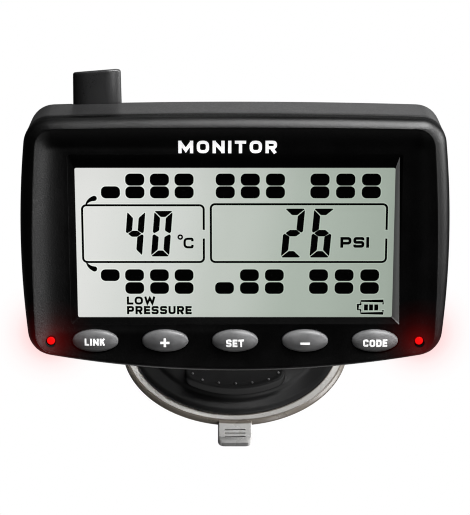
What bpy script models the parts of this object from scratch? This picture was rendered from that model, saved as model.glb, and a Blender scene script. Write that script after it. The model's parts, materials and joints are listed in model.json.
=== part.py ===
"""Tire pressure monitor on a suction-cup mount, at real size, as an assembly of separate pieces.

Frame: metres, +Z up. The origin is the centre of the suction cup's sealing face, in z = 0.
The screen faces -Y and is leaned back by TILT. Sizes below are in millimetres, scaled by MM
when a mesh is made.

The display unit has its own frame, held by the empty monitor_axis: x to the viewer's right,
y from the front plane into the casing, z up along the screen.
"""

import math

import bmesh
import bpy
from mathutils import Matrix, Vector

MM = 0.001

# ---------------------------------------------------------------- driving dimensions, mm, degrees
TILT = 24.0  # lean-back of the screen
MONITOR_POS = (0.0, -35.2, 72.2)  # centre of the front plane
CASE_DEPTH = 25.0
RIM_DEPTH = 6.0  # the front casing's outer wall
SEAM = 0.7  # shadow gap between the two casings

BUTTON_NAMES = ("link", "plus", "set", "minus", "code")  # left to right, "set" in the middle
BUTTON_PITCH = 19.3
BUTTON_X = {name: (i - 2) * BUTTON_PITCH for i, name in enumerate(BUTTON_NAMES)}
BUTTON_Z = -29.1
BUTTON_HALF_W, BUTTON_HALF_H = 6.3, 3.3  # half axes of the oval cap
LED_X, LED_Z = 50.75, -29.3
POSTS = [(side * 50.3, z) for side in (-1, 1) for z in (23.5, -20.0)]  # screw posts, (x, z)
POST_BORE = 1.45

PCB_Y, PCB_THICKNESS = 13.6, 1.6
PCB_GAP = 0.2  # air between the board and what stands on it
PCB_FRONT = PCB_Y - PCB_GAP
PCB_BACK = PCB_Y + PCB_THICKNESS + PCB_GAP

ANTENNA_X, ANTENNA_Y = -38.1, 22.7
BUZZER_X, BUZZER_Z = 30, -12
JACK_AXIS = (18.2, 0)  # (y, z) of the charging jack's hole

BALL_Y = 44.4  # depth of the ball's centre in the display unit's frame
BALL_R = 7.5
BALL_NECK_R = 3.0
CUP_R = 34.7
CAP_R = 31.8
PIVOT = (0.0, 15.0, 15.6)  # arm hinge
HINGE_R, HINGE_BORE = 4.9, 2.3
PIN_Z = 13.5  # lever hinge
STUD_LIFT = 1.5
LEVER_OPEN = 70.0

SHARP_ANGLE = math.radians(35)  # edges steeper than this are shaded sharp
TILT_ANGLE = math.radians(TILT)
LEAN = Matrix.Rotation(-TILT_ANGLE, 4, "X")
BALL_POS = Vector(MONITOR_POS) + LEAN @ Vector((0, BALL_Y, 0))

for old in list(bpy.data.objects):
    bpy.data.objects.remove(old)

# ---------------------------------------------------------------- materials
# name: base colour, roughness, metallic, alpha
FINISHES = {
    "case_black": ((0.018, 0.018, 0.019), 0.45, 0, 1),
    "case_rear": ((0.035, 0.035, 0.037), 0.55, 0, 1),
    "lens_clear": ((0.9, 0.93, 0.92), 0.08, 0, 0.3),
    "lcd_glass": ((0.55, 0.60, 0.56), 0.25, 0, 1),
    "white_plastic": ((0.85, 0.85, 0.83), 0.5, 0, 1),
    "rubber_grey": ((0.3, 0.3, 0.31), 0.8, 0, 1),
    "board_green": ((0.02, 0.16, 0.07), 0.4, 0, 1),
    "button_metal": ((0.22, 0.22, 0.23), 0.3, 0.9, 1),
    "led_red": ((0.9, 0.02, 0.02), 0.2, 0, 1),
    "steel": ((0.6, 0.6, 0.62), 0.3, 1, 1),
    "brass": ((0.65, 0.5, 0.25), 0.3, 1, 1),
    "chip_black": ((0.02, 0.02, 0.02), 0.5, 0, 1),
    "battery_silver": ((0.55, 0.57, 0.6), 0.4, 0.5, 1),
    "foam": ((0.1, 0.1, 0.1), 0.95, 0, 1),
    "mount_black": ((0.02, 0.02, 0.021), 0.5, 0, 1),
    "nylon": ((0.75, 0.73, 0.68), 0.5, 0, 1),
    "cup_soft": ((0.62, 0.6, 0.56), 0.25, 0, 0.55),
}


def material(name, colour, roughness, metallic, alpha):
    made = bpy.data.materials.new(name)
    made.use_nodes = True
    inputs = made.node_tree.nodes["Principled BSDF"].inputs
    inputs["Base Color"].default_value = (*colour, 1.0)
    inputs["Roughness"].default_value = roughness
    inputs["Metallic"].default_value = metallic
    inputs["Alpha"].default_value = alpha
    made.diffuse_color = (*colour, 1.0)
    return made


MATERIALS = {name: material(name, *finish) for name, finish in FINISHES.items()}


# ---------------------------------------------------------------- joints
def axis(name, location, lean=False):
    """An empty on a joint's axis, in mm; the pieces that turn there are its children."""
    empty = bpy.data.objects.new(name, None)
    empty.location = [c * MM for c in location]
    if lean:
        empty.rotation_euler = (-TILT_ANGLE, 0, 0)
    bpy.context.scene.collection.objects.link(empty)
    return empty


BASE = axis("base_axis", (0, 0, 0))
STUD = axis("stud_axis", (0, 0, PIN_Z))
LEVER = axis("lever_axis", (0, 0, PIN_Z))
ARM = axis("arm_axis", PIVOT)
BALL = axis("ball_axis", BALL_POS, lean=True)
MONITOR = axis("monitor_axis", MONITOR_POS, lean=True)


# ---------------------------------------------------------------- objects from parts
def piece(name, material_name, parent, *parts):
    """One object from parts, each (vertices in mm in the parent's frame, faces)."""
    builder = bmesh.new()
    for points, faces in parts:
        verts = [builder.verts.new([c * MM for c in point]) for point in points]
        for face in faces:
            builder.faces.new([verts[i] for i in face])
    bmesh.ops.recalc_face_normals(builder, faces=builder.faces)
    mesh = bpy.data.meshes.new(name)
    builder.to_mesh(mesh)
    builder.free()
    mesh.shade_smooth()
    mesh.set_sharp_from_angle(angle=SHARP_ANGLE)
    mesh.materials.append(MATERIALS[material_name])
    obj = bpy.data.objects.new(name, mesh)
    obj.parent = parent
    bpy.context.scene.collection.objects.link(obj)
    return obj


def boolean(obj, operation, parts):
    """Adds a boolean modifier with a hidden helper made from parts, in obj's frame."""
    label = f"{operation.lower()}_{len(obj.modifiers)}"
    helper = piece(f"{obj.name}_{label}", "foam", obj.parent, *parts)
    helper.hide_render = True
    helper.display_type = "WIRE"
    modifier = obj.modifiers.new(label, "BOOLEAN")
    modifier.operation = operation
    modifier.solver = "EXACT"
    modifier.object = helper


def join(obj, *parts):
    boolean(obj, "UNION", parts)


def cut(obj, *parts):
    boolean(obj, "DIFFERENCE", parts)


# ---------------------------------------------------------------- solids
def loft(loops, closed=False):
    """A solid through loops of equal length: capped at both ends, or closed as a ring."""
    size, count = len(loops[0]), len(loops)
    faces = []
    for k in range(count if closed else count - 1):
        near, far = k * size, ((k + 1) % count) * size
        for i in range(size):
            j = (i + 1) % size
            faces.append((near + i, near + j, far + j, far + i))
    if not closed:
        faces.append(tuple(range(size - 1, -1, -1)))
        faces.append(tuple(range((count - 1) * size, count * size)))
    return [point for loop in loops for point in loop], faces


def flat_loop(points, axis_index, height):
    """2-D points, in the order of the other two axes, lifted to a height along axis_index."""
    return [(*pair[:axis_index], height, *pair[axis_index:]) for pair in points]


def prism(points, axis_index, low, high):
    return loft([flat_loop(points, axis_index, height) for height in (low, high)])


def box(x0, x1, y0, y1, z0, z1):
    return prism([(x0, y0), (x1, y0), (x1, y1), (x0, y1)], 2, z0, z1)


def oval(centre, half_u, half_v, axis_index, height, segments=16):
    angles = [2 * math.pi * i / segments for i in range(segments)]
    u, v = centre
    points = [(u + half_u * math.cos(a), v + half_v * math.sin(a)) for a in angles]
    return flat_loop(points, axis_index, height)


def circle(centre, radius, axis_index, height, segments):
    return oval(centre, radius, radius, axis_index, height, segments)


def turned(profile, centre, axis_index, segments, closed=False):
    """profile is (radius, height) along the axis. closed makes a ring with a hole."""
    return loft([circle(centre, r, axis_index, h, segments) for r, h in profile], closed)


def cylinder(centre, radius, axis_index, low, high, segments=14):
    return turned([(radius, low), (radius, high)], centre, axis_index, segments)


def mirrored(points):
    """Half a 2-D outline, followed by its mirror image in the first coordinate."""
    return points + [(-u, v) for u, v in reversed(points)]


def rounded_rectangle(half_u, half_v, radius, steps):
    points = []
    for sign_u, sign_v, start in ((1, 1, 0), (-1, 1, 90), (-1, -1, 180), (1, -1, 270)):
        for i in range(steps + 1):
            angle = math.radians(start + 90 * i / steps)
            points.append((
                sign_u * (half_u - radius) + radius * math.cos(angle),
                sign_v * (half_v - radius) + radius * math.sin(angle),
            ))
    return points


# ---------------------------------------------------------------- outlines of the casing, (x, z)
def outline(top, bottom, side, radii, edge_steps=5, corner_steps=4):
    """A bowed rectangle with rounded corners: (point, outward normal), clockwise from top left.

    top and bottom are (z at the centre, bow), side is (x, bow, z where it is widest) and
    radii are the corners' (top, bottom). A bow is the parabola's quadratic factor.
    """

    def unit(x, z):
        length = math.hypot(x, z)
        return x / length, z / length

    def on_level(x, sign):
        """On the top edge for sign 1, on the bottom edge for -1."""
        level, bow = top if sign > 0 else bottom
        return (x, level - sign * bow * x * x), unit(2 * bow * x, sign)

    def on_side(z):
        half_width, bow, middle = side
        return (half_width - bow * (z - middle) ** 2, z), unit(1, 2 * bow * (z - middle))

    def corner(radius, sign):
        """The right-hand arc, from level edge to side, and where it touches them."""
        centre_x = touch_x = side[0] - radius
        touch_z = (top if sign > 0 else bottom)[0] - sign * radius
        for _ in range(60):  # settles on the arc tangent to both edges
            point, level_normal = on_level(touch_x, sign)
            centre_z = point[1] - radius * level_normal[1]
            touch_x = centre_x + radius * level_normal[0]
            point, side_normal = on_side(touch_z)
            centre_x = point[0] - radius * side_normal[0]
            touch_z = centre_z + radius * side_normal[1]
        level_normal, side_normal = on_level(touch_x, sign)[1], on_side(touch_z)[1]
        start = math.atan2(level_normal[1], level_normal[0])
        end = math.atan2(side_normal[1], side_normal[0])
        arc = []
        for i in range(corner_steps + 1):
            angle = start + (end - start) * i / corner_steps
            nx, nz = math.cos(angle), math.sin(angle)
            arc.append(((centre_x + radius * nx, centre_z + radius * nz), (nx, nz)))
        return arc, touch_x, touch_z

    top_arc, top_x, top_z = corner(radii[0], 1)
    bottom_arc, bottom_x, bottom_z = corner(radii[1], -1)
    shares = [i / edge_steps for i in range(1, edge_steps)]
    right = top_arc + [on_side(top_z + (bottom_z - top_z) * s) for s in shares]
    right += bottom_arc[::-1]
    return (
        [on_level(-top_x + 2 * top_x * s, 1) for s in shares]
        + right
        + [on_level(bottom_x - 2 * bottom_x * s, -1) for s in shares]
        + [((-x, z), (-nx, nz)) for (x, z), (nx, nz) in reversed(right)]
    )


CASE = outline((34.0, 0.0003), (-38.4, 0.00175), (58.4, 0.0019, -2.0), (7.0, 7.3))
RIM_INNER = outline((31.55, 0.0002), (-36.4, 0.00165), (55.1, 0.0011, -12.0), (5.2, 5.4))
FRAME = outline((23.7, 0), (-24.65, 0), (45.2, 0, 0), (0.8, 0.8))  # foot of the dish
OPENING = outline((19.7, 0), (-23.3, 0), (43.4, 0, 0), (0.5, 0.5))  # screen opening
SEAT = outline((24.9, 0), (-24.9, 0), (47.6, 0, 0), (1.5, 1.5))  # behind the opening


def section(shape, y, inset=0.0):
    return [(x - nx * inset, y, z - nz * inset) for (x, z), (nx, nz) in shape]


def blend(first, second, share, y):
    """The loop at a share of the way between two outlines, at depth y."""
    return [
        (x + (far_x - x) * share, y, z + (far_z - z) * share)
        for ((x, z), _), ((far_x, far_z), _) in zip(first, second)
    ]


# ================================================================ display unit
# Front casing: a closed ring of loops, from the outer wall over the rim, down the dish to the
# screen opening and back inside.
front_casing = piece("front_housing", "case_black", MONITOR, loft([
    section(CASE, RIM_DEPTH),
    section(CASE, 2.9),
    blend(CASE, RIM_INNER, 0.14, 1.25),
    blend(CASE, RIM_INNER, 0.48, 0.3),
    section(RIM_INNER, 0.0),
    blend(RIM_INNER, FRAME, 0.3, 1.35),
    blend(RIM_INNER, FRAME, 0.65, 2.15),
    section(FRAME, 2.4),
    section(OPENING, 4.2),
    section(OPENING, 4.7),
    section(SEAT, 4.7),
    section(CASE, 4.5, 3.0),
    section(CASE, 9.0, 3.0),
    section(CASE, 9.0, 2.0),
    section(CASE, RIM_DEPTH, 2.0),
], closed=True))
join(front_casing, *[cylinder(post, 2.5, 1, 3.6, PCB_FRONT) for post in POSTS])

BUTTON_PLAY = 0.25
button_holes = [
    loft([
        oval((x, BUTTON_Z), BUTTON_HALF_W + BUTTON_PLAY, BUTTON_HALF_H + BUTTON_PLAY, 1, y)
        for y in (-2, 7)
    ])
    for x in BUTTON_X.values()
]
led_holes = [cylinder((side * LED_X, LED_Z), 1.38, 1, -2, 7) for side in (-1, 1)]
post_bores = [cylinder(post, POST_BORE, 1, 5.6, 15) for post in POSTS]
cut(front_casing, *button_holes, *led_holes, *post_bores)


def tee(half_wide, half_narrow, y_front, y_step, y_back):
    """(x, y) outline of the dock's T: wide in front of y_step, narrow behind it."""
    return mirrored([
        (half_wide, y_front), (half_wide, y_step), (half_narrow, y_step), (half_narrow, y_back),
    ])


# Rear casing: a tray with rounded back edges, from its inner floor round to its back.
rear_casing = piece("rear_housing", "case_rear", MONITOR, loft([
    section(CASE, 22.8, 4.7),
    section(CASE, 20.4, 1.7),
    section(CASE, RIM_DEPTH + SEAM, 1.7),
    section(CASE, RIM_DEPTH + SEAM, 0.1),
    section(CASE, 21.0, 0.1),
    section(CASE, 23.6, 1.2),
    section(CASE, CASE_DEPTH, 3.6),
]))
dock_block = box(-17.6, 17.6, 24.2, 29.2, -14, 16)
join(rear_casing, *[cylinder(post, 3.3, 1, PCB_BACK, 23.6) for post in POSTS], dock_block)

SCREW_BORE = [(POST_BORE, 10), (POST_BORE, 19.5), (2.7, 19.5), (2.7, 28)]  # (radius, y)
cut(
    rear_casing,
    prism(tee(15.5, 13.3, 25.4, 27.3, 31), 2, -16, 14.2),  # dock slot
    *[turned(SCREW_BORE, post, 1, 14) for post in POSTS],
    box(ANTENNA_X - 7.05, ANTENNA_X + 7.05, ANTENNA_Y - 2.62, 28, 28.5, 38),
    cylinder(JACK_AXIS, 3.0, 0, 52, 62),
    *[  # five slots behind the buzzer
        box(BUZZER_X - 5, BUZZER_X + 5, 20, 28, z - 0.6, z + 0.6)
        for z in [BUZZER_Z + 2.4 * i for i in range(-2, 3)]
    ],
)

# Screen stack: name, material, then the box as x0, x1, y0, y1, z0, z1
SCREEN_BOXES = [
    ("display_lens", "lens_clear", -45.2, 45.2, 4.95, 6.15, -24.2, 22.6),
    ("lcd_panel", "lcd_glass", -44.8, 44.8, 6.35, 8.35, -24.0, 22.4),
    ("backlight_panel", "white_plastic", -42.9, 42.9, 8.55, 11.3, -21.4, 19.8),
    ("zebra_strip_top", "rubber_grey", -40, 40, 8.6, 13.3, 20.2, 22.1),
    ("zebra_strip_bottom", "rubber_grey", -40, 40, 8.6, 13.3, -23.7, -21.8),
]
for name, material_name, *extents in SCREEN_BOXES:
    piece(name, material_name, MONITOR, box(*extents))

# LCD holder: a rectangular ring. Each loop is (half width, low z, high z, y).
HOLDER_LOOPS = [
    (46.6, -24.7, 23.2, 8.55), (46.6, -24.7, 23.2, 13.3),
    (43.2, -24.0, 22.5, 13.3), (43.2, -24.0, 22.5, 8.55),
]
piece("lcd_holder", "white_plastic", MONITOR, loft([
    flat_loop([(-half, low), (half, low), (half, high), (-half, high)], 1, y)
    for half, low, high, y in HOLDER_LOOPS
], closed=True))

# Main board: the casing's outline drawn in, with its top cut straight.
PCB_INSET, PCB_TOP = 3.2, 28.4
board = [(x, min(z, PCB_TOP)) for x, _, z in section(CASE, 0, PCB_INSET)]
pcb = piece("main_pcb", "board_green", MONITOR, prism(board, 1, PCB_Y, PCB_Y + PCB_THICKNESS))
cut(pcb, *[cylinder(post, 1.5, 1, PCB_Y - 2, PCB_Y + PCB_THICKNESS + 2) for post in POSTS])

# Buttons: an oval domed cap with a stop flange behind the casing and a stem on the switch.
CAP_DOME = ((0.35, 0.2), (0.68, 0.42), (0.9, 0.95), (1.0, 1.75), (1.0, 4.9))  # (scale, y)
SWITCH_SQUARE = [  # (x, z) from the switch's centre
    (3, 0), (3, 1.6), (3, 3), (0, 3), (-1.6, 3), (-3, 3),
    (-3, 0), (-3, -1.6), (-3, -3), (0, -3), (1.6, -3), (3, -3),
]


def button(name, x):
    centre = (x, BUTTON_Z)
    loops = [oval(centre, BUTTON_HALF_W * s, BUTTON_HALF_H * s, 1, y) for s, y in CAP_DOME]
    loops += [oval(centre, BUTTON_HALF_W + 0.7, BUTTON_HALF_H + 0.06, 1, y) for y in (4.9, 5.9)]
    loops += [circle(centre, 1.6, 1, y, 16) for y in (5.9, 9.1)]
    piece(f"button_{name}", "button_metal", MONITOR, loft(loops))


def switch(name, x):
    """A plunger in the well of a square body."""
    centre = (x, BUTTON_Z)
    plunger = cylinder(centre, 1.7, 1, 9.3, 11.9, 12)
    piece(f"switch_plunger_{name}", "chip_black", MONITOR, plunger)
    square = [(x + dx, BUTTON_Z + dz) for dx, dz in SWITCH_SQUARE]
    loops = [circle(centre, 1.95, 1, y, 12) for y in (12.6, 10.1)]
    loops += [flat_loop(square, 1, y) for y in (10.1, 13.4)]
    piece(f"switch_body_{name}", "steel", MONITOR, loft(loops))


for name, x in BUTTON_X.items():
    button(name, x)
    switch(name, x)

# LEDs, (radius, y)
LED_PROFILE = [(0.45, 0.9), (0.75, 1.15), (0.9, 1.6), (0.9, 5.0), (1.35, 5.0), (1.35, PCB_FRONT)]
for name, side in (("left", -1), ("right", 1)):
    led = turned(LED_PROFILE, (side * LED_X, LED_Z), 1, 12)
    piece(f"led_{name}", "led_red", MONITOR, led)

# Parts behind the board: name, material, x0, x1, y0, y1 from PCB_BACK, z0, z1
BOARD_BOXES = [
    ("mcu_chip", "chip_black", 25, 35, 0, 1.6, 10, 20),
    ("lcd_driver_chip", "chip_black", -44, -34, 0, 1.4, -8, 2),
    ("rf_shield_can", "steel", -45, -31, 0, 2.6, 13.5, 26.5),
    ("battery_pad", "foam", -24, 18, 0, 0.5, -12, 18),
    ("battery_pack", "battery_silver", -25, 19, 0.7, 5.9, -14, 20),
    ("charging_jack", "chip_black", 44.5, 55.2, 0.1, 5.6, -3.2, 3.2),
]
board_parts = {}
for name, material_name, x0, x1, y0, y1, z0, z1 in BOARD_BOXES:
    solid = box(x0, x1, PCB_BACK + y0, PCB_BACK + y1, z0, z1)
    board_parts[name] = piece(name, material_name, MONITOR, solid)
cut(board_parts["charging_jack"], cylinder(JACK_AXIS, 1.9, 0, 47, 58))

# Buzzer, open at the back: (radius, y from PCB_BACK)
BUZZER_PROFILE = [(6.2, 0), (6.2, 4.4), (1.2, 4.4), (1.2, 2.4)]
buzzer_profile = [(radius, PCB_BACK + y) for radius, y in BUZZER_PROFILE]
piece("buzzer", "chip_black", MONITOR, turned(buzzer_profile, (BUZZER_X, BUZZER_Z), 1, 16))

CASE_SCREW = [(1.1, 7.2), (1.1, 19.8), (2.3, 19.8), (2.3, 21.2), (1.6, 21.9)]  # (radius, y)
for i, post in enumerate(POSTS, 1):
    piece(f"case_screw_{i}", "steel", MONITOR, turned(CASE_SCREW, post, 1, 12))


# Antenna: a hollow stub in a notch at the back of the casing's top wall. Its top slants across
# and falls to the back, a flange under the wall holds it, and the coil stands inside it.
def stub(half_x, half_y, z_left, z_right, radius=2.1, fall=0.0):
    """A rounded rectangle round the antenna's axis, sloping in x and falling towards the back."""
    return [
        (
            ANTENNA_X + x,
            ANTENNA_Y + y,
            z_left + (z_right - z_left) * (x + half_x) / (2 * half_x) - fall * (y + half_y),
        )
        for x, y in rounded_rectangle(half_x, half_y, radius, 3)
    ]


def antenna_box(half_x, y0, y1, z0, z1):
    return box(ANTENNA_X - half_x, ANTENNA_X + half_x, y0, y1, z0, z1)


ANTENNA_FALL = 0.2
antenna = piece("antenna_cover", "case_rear", MONITOR, loft([
    stub(6.75, 2.3, 28.9, 28.9),
    stub(6.6, 2.25, 41.7, 42.55, fall=ANTENNA_FALL),
    stub(6.2, 1.85, 42.2, 43.05, radius=1.8, fall=ANTENNA_FALL),
]))
join(antenna, antenna_box(7.7, 17.8, 21.4, 28.9, 30.1))
cut(antenna, antenna_box(4.9, ANTENNA_Y - 1.4, ANTENNA_Y + 1.4, 28, 39.4))


def coil(centre, radius, wire, turns, low, high, tail, steps=10, sides=6):
    """A helix of round wire of radius wire along z, with a straight tail down to z = tail."""
    x0, y0 = centre
    path = [Vector((x0 + radius, y0, z)) for z in (tail, (tail + low) / 2)]
    total = turns * steps
    for i in range(total + 1):
        angle = 2 * math.pi * i / steps
        z = low + (high - low) * i / total
        path.append(Vector((x0 + radius * math.cos(angle), y0 + radius * math.sin(angle), z)))
    loops = []
    for i, point in enumerate(path):
        along = (path[min(i + 1, len(path) - 1)] - path[max(i - 1, 0)]).normalized()
        outward = Vector((point.x - x0, point.y - y0, 0)).normalized()
        across = along.cross(outward).normalized()
        outward = across.cross(along)
        loop = []
        for k in range(sides):
            angle = 2 * math.pi * k / sides
            offset = math.cos(angle) * outward + math.sin(angle) * across
            loop.append(tuple(point + wire * offset))
        loops.append(loop)
    return loft(loops)


antenna_helix = coil(
    (ANTENNA_X, ANTENNA_Y), radius=0.88, wire=0.27, turns=6, low=31.0, high=38.6, tail=29.2
)
piece("antenna_coil", "brass", MONITOR, antenna_helix)

# ================================================================ mount: dock, ball and socket
dock_tee = tee(15.2, 13.0, 25.65, 27.05, 29.35)
plate = piece("dock_plate", "mount_black", MONITOR, prism(dock_tee, 2, -13.9, 13.9))
DOCK_BORE = [(5.0, 24.5), (5.0, 27.3), (2.75, 27.3), (2.75, 31)]  # (radius, y)
cut(plate, turned(DOCK_BORE, (0, 0), 1, 20))

# In the ball's frame y runs away from the screen, so the socket opens towards -y.
# The profiles here are (radius, y).
BALL_STEPS = 9
ball_profile = [
    (1.45, -11.8), (1.45, -17.2), (2.5, -17.2), (2.5, -14.8), (7.0, -14.8), (7.0, -13.0),
    (4.0, -12.4), (BALL_NECK_R, -11.2), (BALL_NECK_R, -math.sqrt(BALL_R**2 - BALL_NECK_R**2)),
]
neck_angle = math.asin(BALL_NECK_R / BALL_R)
for i in range(1, BALL_STEPS):
    angle = neck_angle + (math.pi - neck_angle) * i / BALL_STEPS
    ball_profile.append((BALL_R * math.sin(angle), -BALL_R * math.cos(angle)))
ball_profile.append((1.0, BALL_R * 0.99))
piece("ball_stud", "mount_black", BALL, turned(ball_profile, (0, 0), 1, 20))

STUD_SCREW = [(4.5, -18.5), (4.5, -17.4), (1.2, -17.4), (1.2, -12.2)]
piece("stud_screw", "steel", BALL, turned(STUD_SCREW, (0, 0), 1, 14))


def seat_arc(radius):
    angles = [math.radians(a) for a in (95, 110, 125, 140, 155, 168)]
    return [(radius * math.sin(a), -radius * math.cos(a)) for a in angles]


seat_profile = seat_arc(7.8) + seat_arc(8.8)[::-1]
piece("ball_seat", "nylon", BALL, turned(seat_profile, (0, 0), 1, 20, closed=True))

COLLAR = [
    (10.75, 2.0), (10.75, -4.3), (6.7, -4.6), (7.9, -7.0), (11.4, -7.0), (12.6, -6.0), (12.6, 2.0),
]
piece("collar_nut", "mount_black", BALL, turned(COLLAR, (0, 0), 1, 28, closed=True))


# Arm: socket at the top, hinge barrel at the foot, in the hinge's frame.
def arm_local(point):
    return tuple(c - o for c, o in zip(point, PIVOT))


def turned_in_ball(profile, segments):
    """A solid turned round the ball's y axis, in the hinge's frame."""
    return loft([
        [
            arm_local(BALL_POS + LEAN @ Vector(point))
            for point in circle((0, 0), radius, 1, y, segments)
        ]
        for radius, y in profile
    ])


# Stations of the bar: y, z of its centre, half width in x, half thickness
BAR_STATIONS = [
    (15.0, 15.6, 4.9, 4.6), (16.6, 22, 4.7, 4.4), (18.4, 30, 4.4, 4.3),
    (18.6, 38, 4.4, 4.4), (16.6, 44.5, 4.8, 4.8), (12.6, 49.6, 5.6, 5.4),
]
BAR_CORNER = 1.8


def bar():
    """Rounded rectangles set square to the path through the stations."""
    loops = []
    for i, (y, z, half_x, half_t) in enumerate(BAR_STATIONS):
        before = BAR_STATIONS[max(i - 1, 0)]
        after = BAR_STATIONS[min(i + 1, len(BAR_STATIONS) - 1)]
        along = Vector((0, after[0] - before[0], after[1] - before[1])).normalized()
        loops.append([
            arm_local((x, y + along.z * t, z - along.y * t))
            for x, t in rounded_rectangle(half_x, half_t, BAR_CORNER, 2)
        ])
    return loft(loops)


SOCKET = [(10.4, -3.6), (10.4, 3.0), (10.0, 6.2), (8.2, 9.2), (5.0, 11.2), (1.5, 12.0)]
CAVITY_R = 9.3
cavity = [(CAVITY_R, -6.0), (CAVITY_R, 0.0)]
for angle in map(math.radians, (18, 36, 54, 72, 84)):
    cavity.append((CAVITY_R * math.cos(angle), CAVITY_R * math.sin(angle)))

arm = piece("arm", "mount_black", ARM, turned_in_ball(SOCKET, 32))
join(arm, bar())
join(arm, cylinder((0, 0), HINGE_R, 0, -5.1, 5.1, 20))
cut(arm, turned_in_ball(cavity, 28), cylinder((0, 0), HINGE_BORE, 0, -8, 8))

# ================================================================ mount: cap, hinge, lever, cup
# Rigid cap over the cup, with an ear on each side of the arm's hinge: (radius, z)
CAP_PROFILE = [
    (3.7, 6.6), (10.4, 6.6), (12.0, 5.0), (23.6, 4.0), (25.2, 2.5), (29.2, 2.0),
    (30.0, 1.65), (CAP_R, 1.65), (31.6, 2.2), (30.7, 3.0), (26.9, 3.5), (26.2, 4.55),
    (24.0, 5.0), (18.0, 5.6), (11.4, 6.3), (9.6, 8.6), (3.7, 8.6),
]


def ear(x0, x1):
    _, y, z = PIVOT
    points = [(y - 6.4, 5.4), (y + 6.0, 5.4)]
    for angle in map(math.radians, range(0, 181, 30)):
        points.append((y + HINGE_R * math.cos(angle), z + HINGE_R * math.sin(angle)))
    return prism(points, 0, x0, x1)


cap = piece("cup_cap", "mount_black", BASE, turned(CAP_PROFILE, (0, 0), 2, 40, closed=True))
join(cap, ear(-8.8, -5.4), ear(5.4, 8.8))
cut(cap, cylinder(PIVOT[1:], HINGE_BORE, 0, -12, 12))

# Hinge bolt with its nut at -x and its knob at +x
piece("pivot_bolt", "steel", ARM, cylinder((0, 0), 2.0, 0, -12.6, 14.6))
PIVOT_NUT = [(3.8, -12.2), (3.8, -9.1), (2.4, -9.1), (2.4, -12.2)]  # (radius, x)
piece("pivot_nut", "steel", ARM, turned(PIVOT_NUT, (0, 0), 0, 18, closed=True))


def knob_loop(x, radius, depth=0.7, lobes=6, segments=36):
    """A lobed circle; depth is how far its grooves go in."""
    points = []
    for i in range(segments):
        angle = 2 * math.pi * i / segments
        reach = radius - depth * (0.5 - 0.5 * math.cos(lobes * angle))
        points.append((x, reach * math.cos(angle), reach * math.sin(angle)))
    return points


knob = piece("thumb_knob", "mount_black", ARM, loft([
    knob_loop(9.2, 4.2, depth=0),
    knob_loop(10.4, 7.2),
    knob_loop(15.0, 7.4),
    knob_loop(16.4, 6.2),
]))
cut(knob, cylinder((0, 0), 2.4, 0, 8, 15.0))

# Clamping stud, lifted by the lever: flange inside the cup, cross hole for the pin.
STUD_PROFILE = [(6.0, 4.0), (6.0, 5.2), (3.0, 5.2), (3.0, 15.6), (2.4, 16.2)]  # (radius, base z)
stud_profile = [(radius, z - PIN_Z) for radius, z in STUD_PROFILE]
stud = piece("cup_stud", "steel", STUD, turned(stud_profile, (0, 0), 2, 16))
cut(stud, cylinder((0, 0), 1.35, 0, -8, 8, 10))
piece("lever_pin", "steel", STUD, cylinder((0, 0), 1.05, 0, -7.4, 7.4, 12))

# Lever: cam cheeks round the pin, a neck, and a wide paddle whose front edge follows the cap.
CAM_R = 4.5
LIFT_PER_DEGREE = STUD_LIFT / LEVER_OPEN
cam = []  # (y, z) from straight down, round the back to the top
for degrees in range(0, 181, 15):
    radius = CAM_R - LIFT_PER_DEGREE * min(degrees, LEVER_OPEN + 10)
    angle = math.radians(degrees)
    cam.append((radius * math.sin(angle), -radius * math.cos(angle)))
NECK = [  # (y, base z)
    (-5.0, 17.2), (-9.5, 14.2), (-13.5, 10.2), (-17.0, 8.9),
    (-17.0, 6.5), (-12.9, 7.0), (-10.8, 9.3), (-6.0, 9.5),
]
neck = [(y, z - PIN_Z) for y, z in NECK]

PADDLE_R, PADDLE_HALF_W, PADDLE_CORNER = 27.0, 15.0, 4.0
PADDLE_BACK = -12.6
PADDLE_SLOPE = 1.9 / 16.0  # straight fall from the hub to the front edge


def paddle_loop(front_z, inset=0.0):
    """The paddle's outline; front_z is its base height at the front edge, y = -PADDLE_R."""
    radius, half_width = PADDLE_R - inset, PADDLE_HALF_W - inset
    corner_x = half_width - PADDLE_CORNER
    corner_y = -math.sqrt((radius - PADDLE_CORNER) ** 2 - corner_x**2)
    end = math.atan2(corner_y, corner_x)
    right = [(half_width, PADDLE_BACK - inset)]
    for i in range(5):
        a = end * i / 4
        right.append((
            corner_x + PADDLE_CORNER * math.cos(a),
            corner_y + PADDLE_CORNER * math.sin(a),
        ))
    angles = [end + (-math.pi - 2 * end) * i / 8 for i in range(1, 8)]
    front = [(radius * math.cos(a), radius * math.sin(a)) for a in angles]
    points = right + front + [(-x, y) for x, y in reversed(right)]
    return [(x, y, front_z + PADDLE_SLOPE * (y + PADDLE_R) - PIN_Z) for x, y in points]


lever = piece("lock_lever", "mount_black", LEVER, prism(cam + neck, 0, -7.0, 7.0))
join(lever, loft([paddle_loop(5.0), paddle_loop(7.1), paddle_loop(7.5, inset=0.5)]))
cut(lever, box(-3.4, 3.4, -4.6, 8, -8, 8))
cut(lever, cylinder((0, 0), 1.4, 0, -9, 9))

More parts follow.
